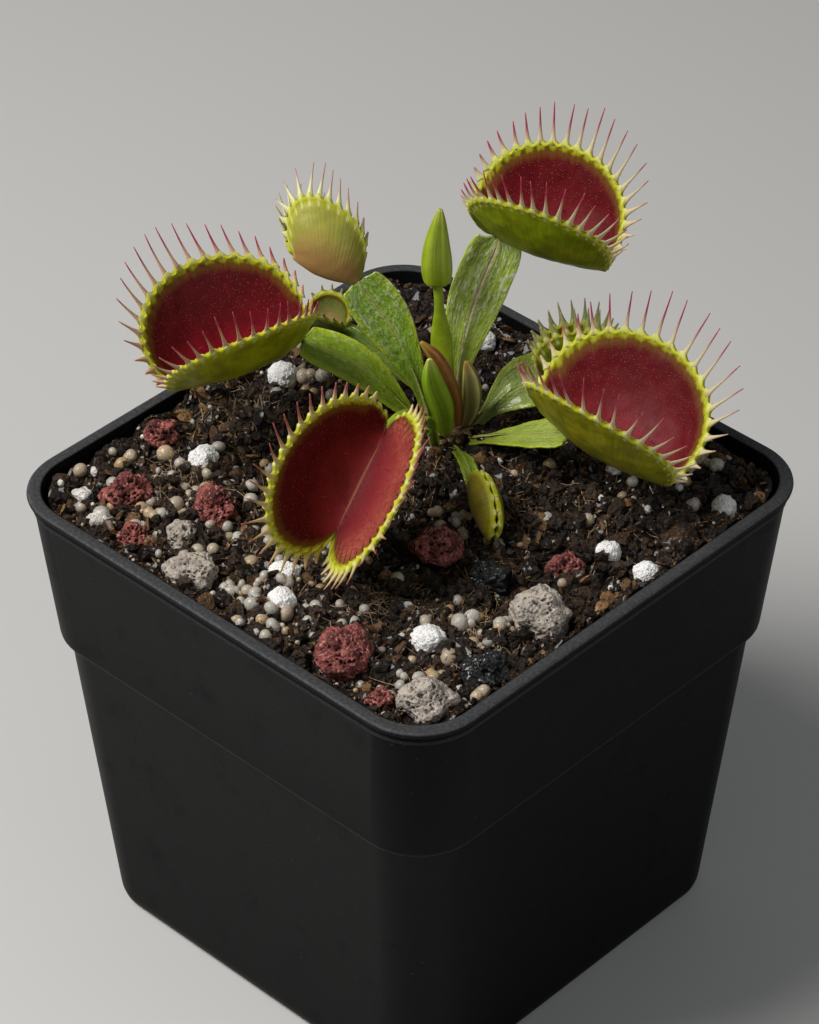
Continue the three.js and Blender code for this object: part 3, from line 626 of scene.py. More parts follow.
def trap_surface(trap):
    """A folded trap. Flat, its outline is part of an ellipse; each lobe leaves the hinge square
    to the middle plane and turns up to its margin angle by a power of the way that is left."""
    start, end = (np.array(p, float) for p in trap["hinge"])
    length = np.linalg.norm(end - start)
    along = (end - start) / length
    up = np.array(trap["up"], float)
    up = unit(up - along * up.dot(along))
    sideways = np.cross(along, up)
    rise = trap["height"] - trap["centre"]
    first = math.asin((MARGIN_END_HEIGHT - trap["centre"]) / rise)

    def surface(u, v):
        signed = 2 * v - 1
        reach = np.abs(signed)
        phi = lerp(first, math.pi - first, u)
        margin_y = trap["centre"] + rise * np.sin(phi)
        behind = np.where(signed < 0, *trap["behind"])
        half = (length + trap["ahead"] + behind) / 2
        x = lerp(length * u, half - behind - half * np.cos(phi), reach)
        spread = np.where(signed < 0, *trap["spread"]) * (1 - trap["pinch"] * (2 * u - 1) ** 2)
        angle = np.radians(spread)
        rises, leaves = 0, 0
        for k in range(10):
            r = reach * (k + 0.5) / 10
            lean = angle + (math.pi / 2 - angle) * np.maximum(0, 1 - r) ** trap["turn"]
            rises = rises + np.cos(lean) * reach / 10
            leaves = leaves + np.sin(lean) * reach / 10
        bow = trap["bow"] * 4 * (x / length) * (1 - x / length)
        return (start + along * (x + trap["skew"] * rises * margin_y)[..., None]
                + up * (rises * margin_y - bow)[..., None]
                + sideways * (np.sign(signed) * leaves * margin_y)[..., None])
    return surface, lambda u: trap["centre"] + rise * np.sin(lerp(first, math.pi - first, u))


def normal_of(surface, u, v):
    """The cross product of the surface's two directions at each point."""
    along = surface(u + SLOPE_STEP, v) - surface(u - SLOPE_STEP, v)
    return unit(np.cross(along, surface(u, v + SLOPE_STEP) - surface(u, v - SLOPE_STEP)))


def add_blade(shape, leaf, thickness):
    """The petiole's sheet, thick along its rib on the underside and thin at its edges."""
    surface = blade_surface(leaf)
    u, v = np.meshgrid(np.linspace(0, 1, 90), np.linspace(0, 1, 37), indexing="ij")
    side = 2 * v - 1
    points, normal = surface(u, v), normal_of(surface, u, v)
    furrows = 0.02 * np.cos(side * 20) * smoothstep(u, 0.1, 0.5)
    lumps = 0.09 * noise(points, 1.6, 3) + 0.05 * noise(points, 0.8, 4) + furrows
    edge = lerp(1, 0.55, np.abs(side) ** 6)
    rib = lerp(leaf["stalk"], 0.5, u) * np.exp(-((side / 0.28) ** 2))
    dip = 0.1 * np.exp(-((side / 0.1) ** 2)) * smoothstep(u, 0.15, 0.5)
    half = thickness / 2 * edge
    shape.sheet(points + normal * (half + lumps)[..., None],
                points - normal * (half + rib - dip - lumps)[..., None], 0, side=side, along=u)


def add_trap(shape, trap, thickness):
    """The trap's sheet with its keel, rim roll, ribs and teeth. Rows across it lie evenly,
    and rows along it by a cosine, closer at the margins."""
    surface, height = trap_surface(trap)
    count, small = trap["cilia"], trap["height"] < SMALL_TRAP
    per_tooth, rows = (8, 61) if small else (7, 105)
    u, v = np.meshgrid(np.linspace(0, 1, per_tooth * count + 1),
                       (1 - np.cos(np.linspace(0, np.pi, rows))) / 2, indexing="ij")
    reach = np.abs(2 * v - 1)
    edge = (1 - reach) * height(u)
    points, normal = surface(u, v), normal_of(surface, u, v)
    comb = (0.3 if small else 1) * np.cos(2 * np.pi * (u * count - 0.5))
    lumps = 0.09 * noise(points, 2.6, 11) + 0.05 * noise(points, 1.1, 12)
    ribs = 0.014 * np.cos(4 * np.pi * u * count) * smoothstep(reach, 0.1, 0.4)
    keel = 0.5 * np.maximum(0, 1 - reach * 4) ** 1.5
    roll = 0.24 * np.exp(-(((edge - 0.45) / 0.45) ** 2))
    teeth = 0.4 * np.exp(-(((edge - 0.75) / 0.34) ** 2)) * np.maximum(0, -comb) ** 2
    half = thickness / 2 * lerp(1, 0.7, smoothstep(reach, 0.8, 1))
    scallop = unit(surface(u, v) - surface(u, 0.5 + (v - 0.5) * 0.9))
    points = points + scallop * (0.42 * comb * smoothstep(edge, 0.9, 0))[..., None]
    narrower = 2 if small else 1 + 2 * smoothstep(-u, -0.17, -0.06)
    values = dict(reach=reach, edge=edge * narrower, along=u, lobe=(v < 0.5).astype(float))
    shape.sheet(points + normal * (half + keel + roll + ribs + lumps)[..., None],
                points - normal * (half + teeth + roll * 0.6 - lumps)[..., None], 1, **values)


def add_cilia(shape, trap, cilium_radius, rng):
    """Cilia along both margins: tubes bent by the square of the way, longest past the middle,
    swollen at the root by an exponential, and leaning away from the upright one."""
    surface, _ = trap_surface(trap)
    root_u = (np.arange(trap["bare"], trap["cilia"]) + 0.5) / trap["cilia"]
    grown = len(root_u)
    s = np.linspace(0, 1, 8)
    slim = 0.5 if trap["height"] < SMALL_TRAP else 1
    for margin in (0, 1):
        inward = lambda share: np.abs(margin - share) + 0 * root_u
        root = surface(root_u, inward(0.02))
        out = unit(surface(root_u, inward(0)) - surface(root_u, inward(0.07)))
        fan = unit(surface(root_u + 0.02, inward(0)) - surface(root_u - 0.02, inward(0)))
        face = normal_of(surface, root_u, inward(0.02))
        out = unit(out - fan * (out * fan).sum(axis=-1, keepdims=True))
        before = UPRIGHT_SHARE - root_u
        lean = trap["sweep"] * before * np.abs(before) - TIP_LEAN + rng.normal(0, 0.05, grown)
        out = unit(out + fan * lean[:, None] + face * rng.normal(0, 0.04, (grown, 1)))
        growth = lerp(SHORTEST_SHARE, 1, np.sin(np.pi * root_u**1.3) ** 1.5)
        size = trap["bristle"] * growth * rng.uniform(0.92, 1.04, grown)
        bend = rng.uniform(0.02, 0.12, (grown, 1, 1)) * size[:, None, None] * (s**2)[None, :, None]
        centres = root[:, None] + out[:, None] * (size[:, None] * s)[..., None] - face[:, None] * bend
        thin = cilium_radius * slim * (1 - 0.68 * s)[None, :]
        flare = 0.55 * np.exp(-s[None, :] * size[:, None] / 1.1) * slim
        across = np.cross(out, face)
        cream = smoothstep(root_u, 0.4, 0.75) + smoothstep(-root_u, -0.25, -0.05)
        own = 0.75 * cream + rng.uniform(0, 0.25, grown)
        shape.tubes(centres, across[:, None] * (thin + flare)[..., None],
                    face[:, None] * (thin + flare * 0.25)[..., None], 8, 2,
                    along=s[None, :] * lerp(0.45, 1, size / trap["bristle"])[:, None],
                    own=own[:, None] + 0 * s)


def add_trigger_hairs(shape, trap):
    """Three hairs on each lobe, square to its inner face and tapered in a straight line."""
    surface, _ = trap_surface(trap)
    s = np.linspace(0, 1, 8)
    spots = [(0.36, 0.3), (0.5, 0.42), (0.64, 0.3)]
    hair_u = np.array([a for a, _ in spots] * 2)
    hair_v = np.array([0.5 - r / 2 for _, r in spots] + [0.5 + r / 2 for _, r in spots])
    root, face = surface(hair_u, hair_v), -normal_of(surface, hair_u, hair_v)
    across = unit(np.cross(face, np.array([0.3, 0.2, 0.9])))
    centres = root[:, None] + face[:, None] * (1.7 * s)[None, :, None]
    thin = (0.1 * (1 - 0.8 * s))[None, :, None]
    shape.tubes(centres, across[:, None] * thin, np.cross(face, across)[:, None] * thin, 6, 2,
                along=0.4 + 0.6 * s[None, :] + 0 * hair_u[:, None], own=0 * s[None, :] + 0 * hair_u[:, None])


# Operators
class FLYTRAP_OT_leaves(bpy.types.Operator):
    """Build each leaf: its winged stalk, its trap, the cilia and the trigger hairs"""
    bl_idname = "flytrap.leaves"
    bl_label = "Leaves and traps"

    # Tones of each leaf; the stalk's highlight share sets how much painted highlight lies on its crinkles
    tones = {
        "leaf_left": dict(green=(0.2, 0.3, 0.008), edge=(0.42, 0.5, 0.03), outside=(0.34, 0.35, 0.006),
                          flush=(0.27, 0.006, 0.02), middle=(0.58, 0.36, 0.22)),
        "leaf_front": dict(green=(0.24, 0.4, 0.012), deep=(0.09, 0.004, 0.003), flush=(0.3, 0.03, 0.028),
                           middle=(0.6, 0.45, 0.2), tip=(0.36, 0.09, 0.08), sunlit=0.75),
        "leaf_right": dict(green=(0.27, 0.34, 0.05), gloss=0.15, outside=(0.33, 0.31, 0.014),
                           flush=(0.25, 0.012, 0.024)),
        "leaf_tall": dict(green=(0.34, 0.45, 0.06), edge=(0.45, 0.56, 0.08), rib=(0.62, 0.5, 0.34), painted_highlight=0.85,
                          gloss=1, outside=(0.21, 0.27, 0.006), flush=(0.22, 0.006, 0.016)),
        "leaf_pale": dict(green=(0.18, 0.3, 0.02), painted_highlight=0.4, gloss=1, outside=(0.33, 0.32, 0.06), shade=0.82,
                          blush=0.9, middle=(0.6, 0.57, 0.3), tip=(0.42, 0.24, 0.2)),
        "leaf_back": dict(green=(0.25, 0.33, 0.07), outside=(0.12, 0.16, 0.012), middle=(0.3, 0.34, 0.1),
                          tip=(0.35, 0.3, 0.14)),
        "leaf_far": dict(green=(0.2, 0.32, 0.03), outside=(0.22, 0.33, 0.06), deep=(0.2, 0.24, 0.05),
                         flush=(0.4, 0.16, 0.1), middle=(0.4, 0.45, 0.15), tip=(0.45, 0.42, 0.25)),
        "leaf_low": dict(green=(0.2, 0.3, 0.015), outside=(0.25, 0.2, 0.02), shade=0.7, blush=1, dotted=0,
                         deep=(0.1, 0.06, 0.01), middle=(0.4, 0.42, 0.05), tip=(0.4, 0.36, 0.1)),
    }
    stalk_tones = ("green", "edge", "rib", "painted_highlight", "gloss")
    trap_tones = ("outside", "shade", "blush", "dotted", "deep", "flush", "sunlit")

    def execute(self, context):
        plant = context.scene.flytrap_plant
        usual = dict(green=tuple(plant.leaf_green), edge=tuple(plant.leaf_edge), rib=(0.32, 0.34, 0.09),
                     painted_highlight=0.15, gloss=0.45, outside=tuple(plant.trap_green), shade=0.6, blush=0.0,
                     dotted=0.55, flush=(0.22, 0.03, 0.03), sunlit=0.0, middle=(0.6, 0.5, 0.3),
                     tip=(0.4, 0.035, 0.08))
        for index, (name, (blade, trap)) in enumerate(LEAVES.items()):
            rng = np.random.default_rng(40 + index)
            blade, trap = {**BLADE, **blade}, {**TRAP, **trap}
            deep = tuple(plant.trap_red) if trap["red"] else (0.16, 0.12, 0.015)
            tone = {**usual, "deep": deep, **self.tones[name]}
            shape = Shape()
            add_blade(shape, blade, plant.blade_thickness)
            add_trap(shape, trap, plant.trap_thickness)
            add_cilia(shape, trap, plant.cilium_radius, rng)
            if trap["height"] >= SMALL_TRAP:
                add_trigger_hairs(shape, trap)
            shape.points = [to_pot(points + CROWN) for points in shape.points]
            materials = [
                blade_material(f"{name}_stalk", *(tone[key] for key in self.stalk_tones)),
                trap_material(f"{name}_trap", trap["cilia"], plant.band,
                              *(tone[key] for key in self.trap_tones)),
                cilium_material(f"{name}_cilia", tone["middle"], tone["tip"]),
            ]
            red = [f"{name}_red_face"] if trap["red"] else []
            slot = "leaf_pale" if name == "leaf_pale" else "leaf_green"
            shape.build(f"{name}_dressed", slot, materials, [name, *red])
        return {"FINISHED"}


def add_pod(shape, path, face, width, depth, pinch, fullest=1):
    """A folded leaf: an oval along its path whose size follows a power of a sine, with a
    groove down the front where its halves meet."""
    t = np.linspace(0, 1, 60)
    swell = np.maximum(np.sin(np.pi * lerp(0.12, 0.97, t) ** fullest), 0) ** 0.7
    forward = tangent(path, t)
    across = unit(np.cross(forward, np.array(face, float)))
    front = np.cross(across, forward)
    angle = np.linspace(0, 2 * np.pi, 40, endpoint=False)
    groove = 1 - pinch * np.exp(-(((np.angle(np.exp(1j * angle))) / 0.3) ** 2))
    wide = (width * swell)[:, None] * np.sin(angle) * groove
    deep = (depth * swell)[:, None] * np.cos(angle) * groove
    rings = (curve(path, t)[:, None] + across[:, None] * wide[..., None] + front[:, None] * deep[..., None])
    rings = rings + 0.05 * unit(rings - rings.mean(axis=1, keepdims=True)) * np.cos(angle * 9)[:, None]
    shape.rings(to_pot(rings + CROWN), side=np.cos(angle / 2)[None, :], along=t[:, None])


class FLYTRAP_OT_young_leaves(bpy.types.Operator):
    """Build the folded young leaves: the tall bud on its stalk and three pods"""
    bl_idname = "flytrap.young_leaves"
    bl_label = "Young leaves"

    def execute(self, context):
        shape = Shape()
        stalk = [(-0.6, 1.9, 2.4), (-1.2, 3.4, 14), (-2, 4.5, 28)]
        t = np.linspace(0, 1, 70)
        forward = tangent(stalk, t)
        across = unit(np.cross(forward, np.array([0, -1, 0.1])))
        wing = lerp(0.75, 1.7, smoothstep(t, 0.12, 0.38) * smoothstep(-t, -0.84, -0.56))
        front = np.cross(across, forward)
        shape.tubes(to_pot(curve(stalk, t) + CROWN), to_pot(across * wing[:, None]), to_pot(front * 0.65), 20,
                    along=t * 0.5, side=t * 0.2)
        bud = [(-2, 4.5, 26.8), (-2.1, 4.7, 33), (-1.6, 5, 39.9)]
        add_pod(shape, bud, (0, -1, 0), 2.4, 1.9, pinch=0.1, fullest=0.62)
        lime = pod_material("bud_lime", (0.27, 0.38, 0.008), (0.42, 0.52, 0.03), (0.45, 0.48, 0.08), 5, 0.35)
        shape.build("bud_leaf_dressed", "leaf_lime", [lime], ["bud_leaf"])
        russet = pod_material("pod_russet", (0.27, 0.05, 0.018), (0.45, 0.25, 0.05), (0.45, 0.28, 0.05), 2, 0.6)
        green = pod_material("pod_green", (0.24, 0.42, 0.012), (0.44, 0.58, 0.04), (0.52, 0.54, 0.1), 1, 0.5)
        striped = pod_material("pod_striped", (0.15, 0.11, 0.016), (0.68, 0.62, 0.26), (0.36, 0.2, 0.04), 9, 0.95)
        pods = [
            ("young_red_leaf", [(1.2, 0.2, 2.6), (0.4, -0.4, 9), (-2, -1, 16), (-4.5, -1.3, 19.6)],
             (0, -1, 0.2), 1.3, 1.2, russet, "leaf_russet"),
            ("young_green_leaf", [(-0.6, -1.9, 2.4), (-1.2, -3, 8), (-2.8, -3.8, 14), (-3.2, -4.1, 18.4)],
             (0.3, -1, 0.2), 1.9, 1.1, green, "leaf_lime"),
            ("young_striped_leaf", [(2.45, 1.05, 1.9), (3.35, 1.25, 6), (3.25, 1.25, 10.5), (2.55, 1.05, 14.2)],
             (0, -1, 0), 1.6, 1.35, striped, "leaf_russet"),
        ]
        for name, path, face, width, depth, material, slot in pods:
            shape = Shape()
            add_pod(shape, path, face, width, depth, pinch=0.26)
            shape.build(f"{name}_dressed", slot, [material], [name])
        return {"FINISHED"}


class FLYTRAP_OT_crown(bpy.types.Operator):
    """Build the rhizome and the brown remains of old leaf bases round it"""
    bl_idname = "flytrap.crown"
    bl_label = "Crown"

    def execute(self, context):
        shape = Shape()
        z = np.array([-16, -15.6, -14, -12, -8, -5, -3, 0.6, 1.2, 1.5, 1.7])
        r = np.array([0.3, 1.4, 2.3, 2.8, 3, 2.8, 2.6, 2.6, 2.4, 2.0, 0.3])
        angle = np.linspace(0, 2 * np.pi, 48, endpoint=False)
        rings = np.stack([r[:, None] * np.cos(angle), r[:, None] * np.sin(angle), z[:, None] + 0 * angle],
                         axis=-1)
        shape.rings(to_pot(rings + CROWN), along=np.zeros((len(z), 1)), side=np.cos(angle * 6)[None, :])
        rng = np.random.default_rng(7)
        count, s = 13, np.linspace(0, 1, 12)
        turn = np.linspace(0, 2 * np.pi, count, endpoint=False) + rng.uniform(-0.2, 0.2, count)
        out = np.stack([np.cos(turn), np.sin(turn), 0 * turn], axis=-1)
        length = rng.uniform(1.6, 3.4, count)
        rise = rng.uniform(0.4, 2.0, count)
        centres = (out[:, None] * (1.6 + length[:, None] * s)[..., None]
                   + VERTICAL * (0.9 + rise[:, None] * np.sin(s * 2.4))[..., None])
        across = np.cross(out, VERTICAL)[:, None] * (0.85 * (1 - s) ** 0.6 + 0.1)[None, :, None]
        front = np.broadcast_to(VERTICAL * (0.32 * (1 - 0.6 * s))[:, None], centres.shape)
        shape.tubes(to_pot(centres + CROWN), to_pot(across), front, 12, along=s[None, :], side=s[None, :])
        bark = pod_material("crown_bark", (0.1, 0.05, 0.02), (0.2, 0.15, 0.05), (0.04, 0.02, 0.012), 11, 0.6)
        shape.build("crown_bases", "rhizome", [bark], ["rhizome"])
        return {"FINISHED"}


# Stones by kind: right and away from the middle of the pot, and size across, in mm
STONES = {
    "pumice": [(-33, -20.3, 7.7), (19.2, -30.3, 9.9), (2.4, -50.3, 7.5), (-34.9, -10.5, 5.2)],
    "lava": [(-43.6, -0.3, 7.4), (-42.4, -10.7, 5.2), (-30, -4.2, 7.1), (-39, 14.3, 5.3), (-9.5, -40, 8.3),
             (3.9, -15.2, 7.9), (-4.3, -49.4, 4.6), (23.4, -18.6, 5.2)],
    "perlite": [(-32.3, 8.2, 4.4), (-19, -19.5, 4.2), (-20.5, 30.7, 5), (2.6, -35.4, 4.8), (48.3, -3.5, 4.3),
                (29.9, -15, 4), (35.6, -19.8, 3.8), (11.9, 40.5, 3.9), (-19.3, -26, 4)],
    "charcoal": [(12, -21, 6.4), (10.9, -42.6, 7.2)],
}


def seeded(seed):
    """Numbers from 0 to 1 by the usual multiply and add rule, as the solids use."""
    while True:
        seed = (seed * 1664525 + 1013904223) % 2**32
        yield seed / 2**32


class FLYTRAP_OT_stones(bpy.types.Operator):
    """Build each stone: a lumpy ball with pits, sunk partly into the soil"""
    bl_idname = "flytrap.stones"
    bl_label = "Stones"

    def execute(self, context):
        finishes = {
            "pumice": grit_material("pumice_grey", (0.47, 0.41, 0.35), (0.29, 0.25, 0.21), (0.64, 0.59, 0.53),
                                    0.62, 0.85, 0.35),
            # Lava's light pink flecks are partly its lighter crust and partly painted highlights
            "lava": grit_material("lava_red", (0.34, 0.1, 0.085), (0.1, 0.026, 0.024), (0.66, 0.36, 0.31),
                                  0.6, 0.8, 0.4),
            "perlite": grit_material("perlite_white", (0.88, 0.87, 0.86), (0.76, 0.75, 0.74),
                                     (0.93, 0.92, 0.91), 0.35, 0.8, 0.15),
            # Charcoal's grey flecks are painted glints
            "charcoal": grit_material("charcoal_black", (0.016, 0.016, 0.017), (0.004, 0.004, 0.004),
                                      (0.12, 0.12, 0.12), 0.8, 0.45, 0.5, 0.5),
        }
        # The number of pits, their depth in mm, which is less than 0 for warts, and the roughness
        pits = {"pumice": (130, 0.85, 0.15), "lava": (190, 1.3, 0.2), "perlite": (90, -0.42, 0.1),
                "charcoal": (70, 0.9, 0.24)}
        for row, (kind, places) in enumerate(STONES.items()):
            for index, (x, y, size) in enumerate(places):
                random = seeded(31 * row + 7 * index + 5)
                waves = [[next(random) * 6 for _ in range(3)] for _ in range(3)]
                stretch = np.array([least + more * next(random) for least, more in STONE_STRETCH])
                p, faces = ball(7 if size > 8.5 else 6 if size > 4.6 else 5)
                lump = sum(np.sin((k + 2) * p[:, 0] + w[0]) * np.cos((k + 2) * p[:, 1] + w[1])
                           * np.sin((k + 1.5) * p[:, 2] + w[2]) for k, w in enumerate(waves))
                radius = 1 + (0.05 if kind == "perlite" else 0.11) * lump
                rng = np.random.default_rng(row * 100 + index)
                if kind != "perlite":
                    planes = unit(rng.normal(size=(18, 3)))
                    flat = rng.uniform(0.86, 1.0, 18) / np.maximum(p @ planes.T, 0.3)
                    radius = radius * np.minimum(1.05, flat.min(axis=1))
                count, depth, rough = pits[kind]
                radius = radius + rough * fractal(p, 0.6, row * 40 + index, 4)
                centres = unit(rng.normal(size=(count, 3)))
                narrowest, widest, power = (0.18, 0.7, 4) if depth > 0 else (0.6, 1.1, 2)
                wide = rng.uniform(narrowest, widest, count) / size
                apart = np.arccos(np.clip(p @ centres.T, -1, 1))
                near = np.exp(-((apart / wide) ** power)).max(axis=1)
                radius = radius - depth / size * near
                points = p * radius[:, None] * stretch * size / 2
                points = points + np.array([x, y, mound(x, y) + size * STONE_LIFT])
                shape = Shape()
                # Pits deeper than 0.6 mm are marked for painted shade
                shape.add(to_pot(points), [faces], pit=near * (depth > 0.6))
                name = f"{kind}_{index + 1}"
                shape.build(f"{name}_dressed", kind, [finishes[kind]], [name])
        return {"FINISHED"}


def soil_height(x, y, relief):
    """The mound plus lumps of two sizes, banked up by a smooth step against the pot's wall."""
    spots = np.stack([x, y, 0 * x], axis=-1)
    place = np.abs(to_pot(spots)[..., :2])
    corner = SOIL_HALF - SOIL_CORNER
    beyond = np.linalg.norm(np.maximum(place - corner, 0), axis=-1)
    wall = SOIL_CORNER - beyond - np.minimum(place.max(axis=-1) - corner, 0)
    lumps = 0.7 * fractal(spots, 3.4, 5, 3) + 0.65 * fractal(spots, 1.3, 9, 3)
    return mound(x, y) + BANK * smoothstep(-wall, -BANK_WIDTH, 0) + relief * lumps


def to_plan(points):
    """The pot's coordinates turned back into plan coordinates."""
    c, s = math.cos(PLAN_TURN), math.sin(PLAN_TURN)
    x, y = points[..., 0], points[..., 1]
    return np.stack([c * x + s * y, c * y - s * x], axis=-1)


# Where quartz lies thick and where loose roots lie: right, away and width, in mm
BEDS = [(-36, -6, 9), (-20, -24, 9), (4, -41, 8), (10, -33, 5), (8, -9, 4), (45, 10, 8), (-41, 4, 5),
        (-8, 33, 10)]
TANGLES = [(-2.8, -26, 3), (-26, 22, 4), (-33, 5, 3), (8, -30, 3.5)]


def scatter(rng, count, relief, inset, beds=0.0):
    """Random places on the soil inside the rim's rounded square, clear of the crown and the
    stones, and by the share of beds more of them where the quartz lies thick."""
    half, radius = SOIL_HALF - inset, 9.0
    spots = rng.uniform(-half, half, (count * 8, 2))
    beyond = np.maximum(np.abs(spots) - (half - radius), 0)
    plan = to_plan(spots)
    clear = np.hypot(plan[:, 0] - CROWN[0], plan[:, 1] - CROWN[1]) > CROWN_CLEARANCE
    thick = np.max([np.exp(-((plan - [x, y]) ** 2).sum(axis=1) / wide**2) for x, y, wide in BEDS], axis=0)
    wanted = rng.random(len(plan)) < lerp(1, thick, beds)
    for x, y, size in sum(STONES.values(), []):
        wanted &= np.hypot(plan[:, 0] - x, plan[:, 1] - y) > STONE_CLEARANCE * size
    plan = plan[(np.hypot(beyond[:, 0], beyond[:, 1]) < radius) & clear & wanted][:count]
    return np.column_stack([plan, soil_height(plan[:, 0], plan[:, 1], relief)])


def turns(rng, count):
    """Random rotation matrices, from random directions made square to each other."""
    a = unit(rng.normal(size=(count, 3)))
    b = unit(np.cross(a, rng.normal(size=(count, 3))))
    return np.stack([a, b, np.cross(a, b)], axis=1)


class FLYTRAP_OT_soil(bpy.types.Operator):
    """Build the soil with its crumbs, bark, grit, quartz, white specks and fibres"""
    bl_idname = "flytrap.soil"
    bl_label = "Soil"

    def ground(self, soil, peat):
        """Rounded squares that shrink towards the middle, on the soil's height, and the
        same shapes down the pot's wall to a flat bottom."""
        around, along_side, inward = 26, 90, 120
        rings = []
        for k in range(1, inward + 1):
            share = k / inward
            ring = rounded_square(SOIL_HALF * share, SOIL_CORNER * share, 0, around, along_side)
            plan = to_plan(ring)
            ring[:, 2] = soil_height(plan[:, 0], plan[:, 1], soil.roughness)
            rings.append(ring)
        walls = [(COLLAR_HALF - WALL - SOIL_GAP, 9.2, STEP_Z + 1.4),
                 (BODY_HALF - WALL - SOIL_GAP, 8.4, STEP_Z - 1.5),
                 (BASE_HALF - WALL - SOIL_GAP, 6.4, FLOOR + 1.2),
                 (BASE_HALF - WALL - 1.3, 5.8, FLOOR + SOIL_GAP),
                 (0.2, 0.05, FLOOR + SOIL_GAP)]
        rings += [rounded_square(*wall, around, along_side) for wall in walls]
        shape = Shape()
        shape.rings(np.array(rings)[::-1], own=np.zeros((len(rings), 1)))
        shape.build("soil_ground", "soil", [peat], ["soil"], crease=50)

    def grains(self, name, slot, material, rng, relief, count, sizes, flat, level, lift, own, rough=0.2, beds=0.0):
        """Copies of a small ball, each stretched, turned and roughened in its own way."""
        base, faces = ball(level)
        centres = scatter(rng, count, relief, sizes[1] / 4, beds)
        count = len(centres)
        size = rng.uniform(*sizes, count) * rng.uniform(0.6, 1, count)
        least, most = (0.9, 0.85, flat * 0.75), (1 + rough, 1.1, flat)
        stretch = size[:, None] / 2 * np.stack([rng.uniform(a, b, count) for a, b in zip(least, most)], axis=1)
        uneven = 1 + rng.uniform(-rough, rough, (count, len(base), 1))
        points = np.einsum("cnj,cjk->cnk", base[None] * uneven * stretch[:, None], turns(rng, count))
        points = points + centres[:, None] + VERTICAL * (size * lift)[:, None, None]
        shape = Shape()
        index = faces[None] + (np.arange(count) * len(base))[:, None, None]
        tint = (rng.random(count) ** 2 * own)[:, None]
        shape.add(to_pot(points), [index], own=tint)
        shape.build(name, slot, [material], crease=None if rough < 0.1 else 28)

    def fibres(self, name, material, rng, count, relief, lengths, radius, tangle=None):
        """Thin strands that lie on the soil: each a short arc with a little lift."""
        centres = scatter(rng, count, relief, 4.5)
        if tangle:
            centres[:, :2] = rng.normal(tangle[:2], tangle[2], (len(centres), 2))
        count, s = len(centres), np.linspace(-1, 1, 7)
        angle = rng.uniform(0, 2 * np.pi, count)
        ahead = np.stack([np.cos(angle), np.sin(angle), rng.normal(0, 0.14, count)], axis=-1)
        aside = np.stack([-np.sin(angle), np.cos(angle), 0 * angle], axis=-1)
        length = rng.uniform(*lengths, count) / 2
        bend = rng.normal(0, 0.25, count) * length
        path = (centres[:, None] + ahead[:, None] * (length[:, None] * s)[..., None]
                + aside[:, None] * (bend[:, None] * s**2)[..., None])
        path[..., 2] = soil_height(path[..., 0], path[..., 1], relief) + 0.3 + 0.35 * rng.random((count, 1))
        thin = (radius * (1.1 - s**2) * np.ones((count, 1)))[..., None]
        shape = Shape()
        tint = rng.random((count, 1)) + 0 * s
        shape.tubes(to_pot(path), to_pot(aside[:, None] * thin), VERTICAL * thin, 4, own=tint)
        shape.build(name, "soil", [material])

    def execute(self, context):
        soil = context.scene.flytrap_soil
        crumbs, relief = soil.crumbs, soil.roughness
        rng = np.random.default_rng(2)
        peat = grit_material("peat_ground", tuple(soil.peat), (0.005, 0.003, 0.002), (0.1, 0.055, 0.03),
                             roughness=0.6, depth=0.6, gloss=0.35)
        bark = grit_material("bark_brown", (0.055, 0.026, 0.013), (0.01, 0.006, 0.004), (0.33, 0.18, 0.07),
                             roughness=0.7, gloss=0.2)
        quartz = bead_material("quartz_clear", (0.96, 0.9, 0.8), (0.88, 0.58, 0.26))
        white = grit_material("perlite_specks", (0.7, 0.67, 0.62), (0.46, 0.43, 0.39), (0.85, 0.83, 0.8))
        strand = grit_material("peat_fibre", (0.065, 0.036, 0.019), (0.03, 0.016, 0.009), (0.38, 0.25, 0.14))
        root = grit_material("root_fibre", (0.09, 0.055, 0.032), (0.03, 0.018, 0.01), (0.4, 0.29, 0.18))
        self.ground(soil, peat)
        layers = {
            "peat_crumbs": (peat, dict(count=crumbs, sizes=(1.0, 3.3), flat=0.8, level=2, lift=0.16,
                                       own=0.4, rough=0.3)),
            "bark_crumbs": (bark, dict(count=crumbs // 3, sizes=(1.0, 3.2), flat=0.35, level=2, lift=0.22,
                                       own=0.6, rough=0.25)),
            "fine_grit": (bark, dict(count=soil.grit, sizes=(0.35, 0.9), flat=0.8, level=1, lift=0.3,
                                     own=0.5)),
            "quartz_grains": (quartz, dict(count=soil.beads, sizes=(1.8, 3.3), flat=0.98, level=2, lift=0.25,
                                           own=1, rough=0.014, beds=0.97)),
            "quartz_sand": (quartz, dict(count=soil.beads * 2, sizes=(0.5, 1.2), flat=0.95, level=2, lift=0.35,
                                         own=1, rough=0.03, beds=0.9)),
            "perlite_grains": (white, dict(count=crumbs // 30, sizes=(0.7, 2.0), flat=0.9, level=3, lift=0.3,
                                           own=0, rough=0.06)),
        }
        for name, (material, form) in layers.items():
            self.grains(name, "perlite" if material is white else "soil", material, rng, relief, **form)
        self.fibres("peat_fibres", strand, rng, soil.fibres, relief, (2.5, 11), 0.08)
        for index, tangle in enumerate(TANGLES):
            self.fibres(f"root_tangle_{index + 1}", root, rng, 90, relief, (3, 9), 0.07, tangle)
        self.extras(white, bark)
        return {"FINISHED"}

    def extras(self, white, bark):
        """Single larger lumps: white ones at the left and right rims and one peat clod."""
        base, faces = ball(4)
        for name, x, y, size, slot, material in (
                ("perlite_rim_left", -47.7, -6.2, 3.4, "perlite", white),
                ("perlite_rim_far", -50.7, -0.8, 3.1, "perlite", white),
                ("perlite_under_back", 32, 5.5, 3.1, "perlite", white),
                ("peat_clod", 41.1, -11.9, 5.4, "soil", bark)):
            radius = 1 + 0.28 * fractal(base + x, 0.7, 3, 4)
            shape = Shape()
            centre = np.array([x, y, float(mound(x, y)) + STONE_LIFT * size])
            stretch = np.array([1, 0.9, 0.75])
            shape.add(to_pot(base * radius[:, None] * size / 2 * stretch + centre), [faces])
            shape.build(name, slot, [material])


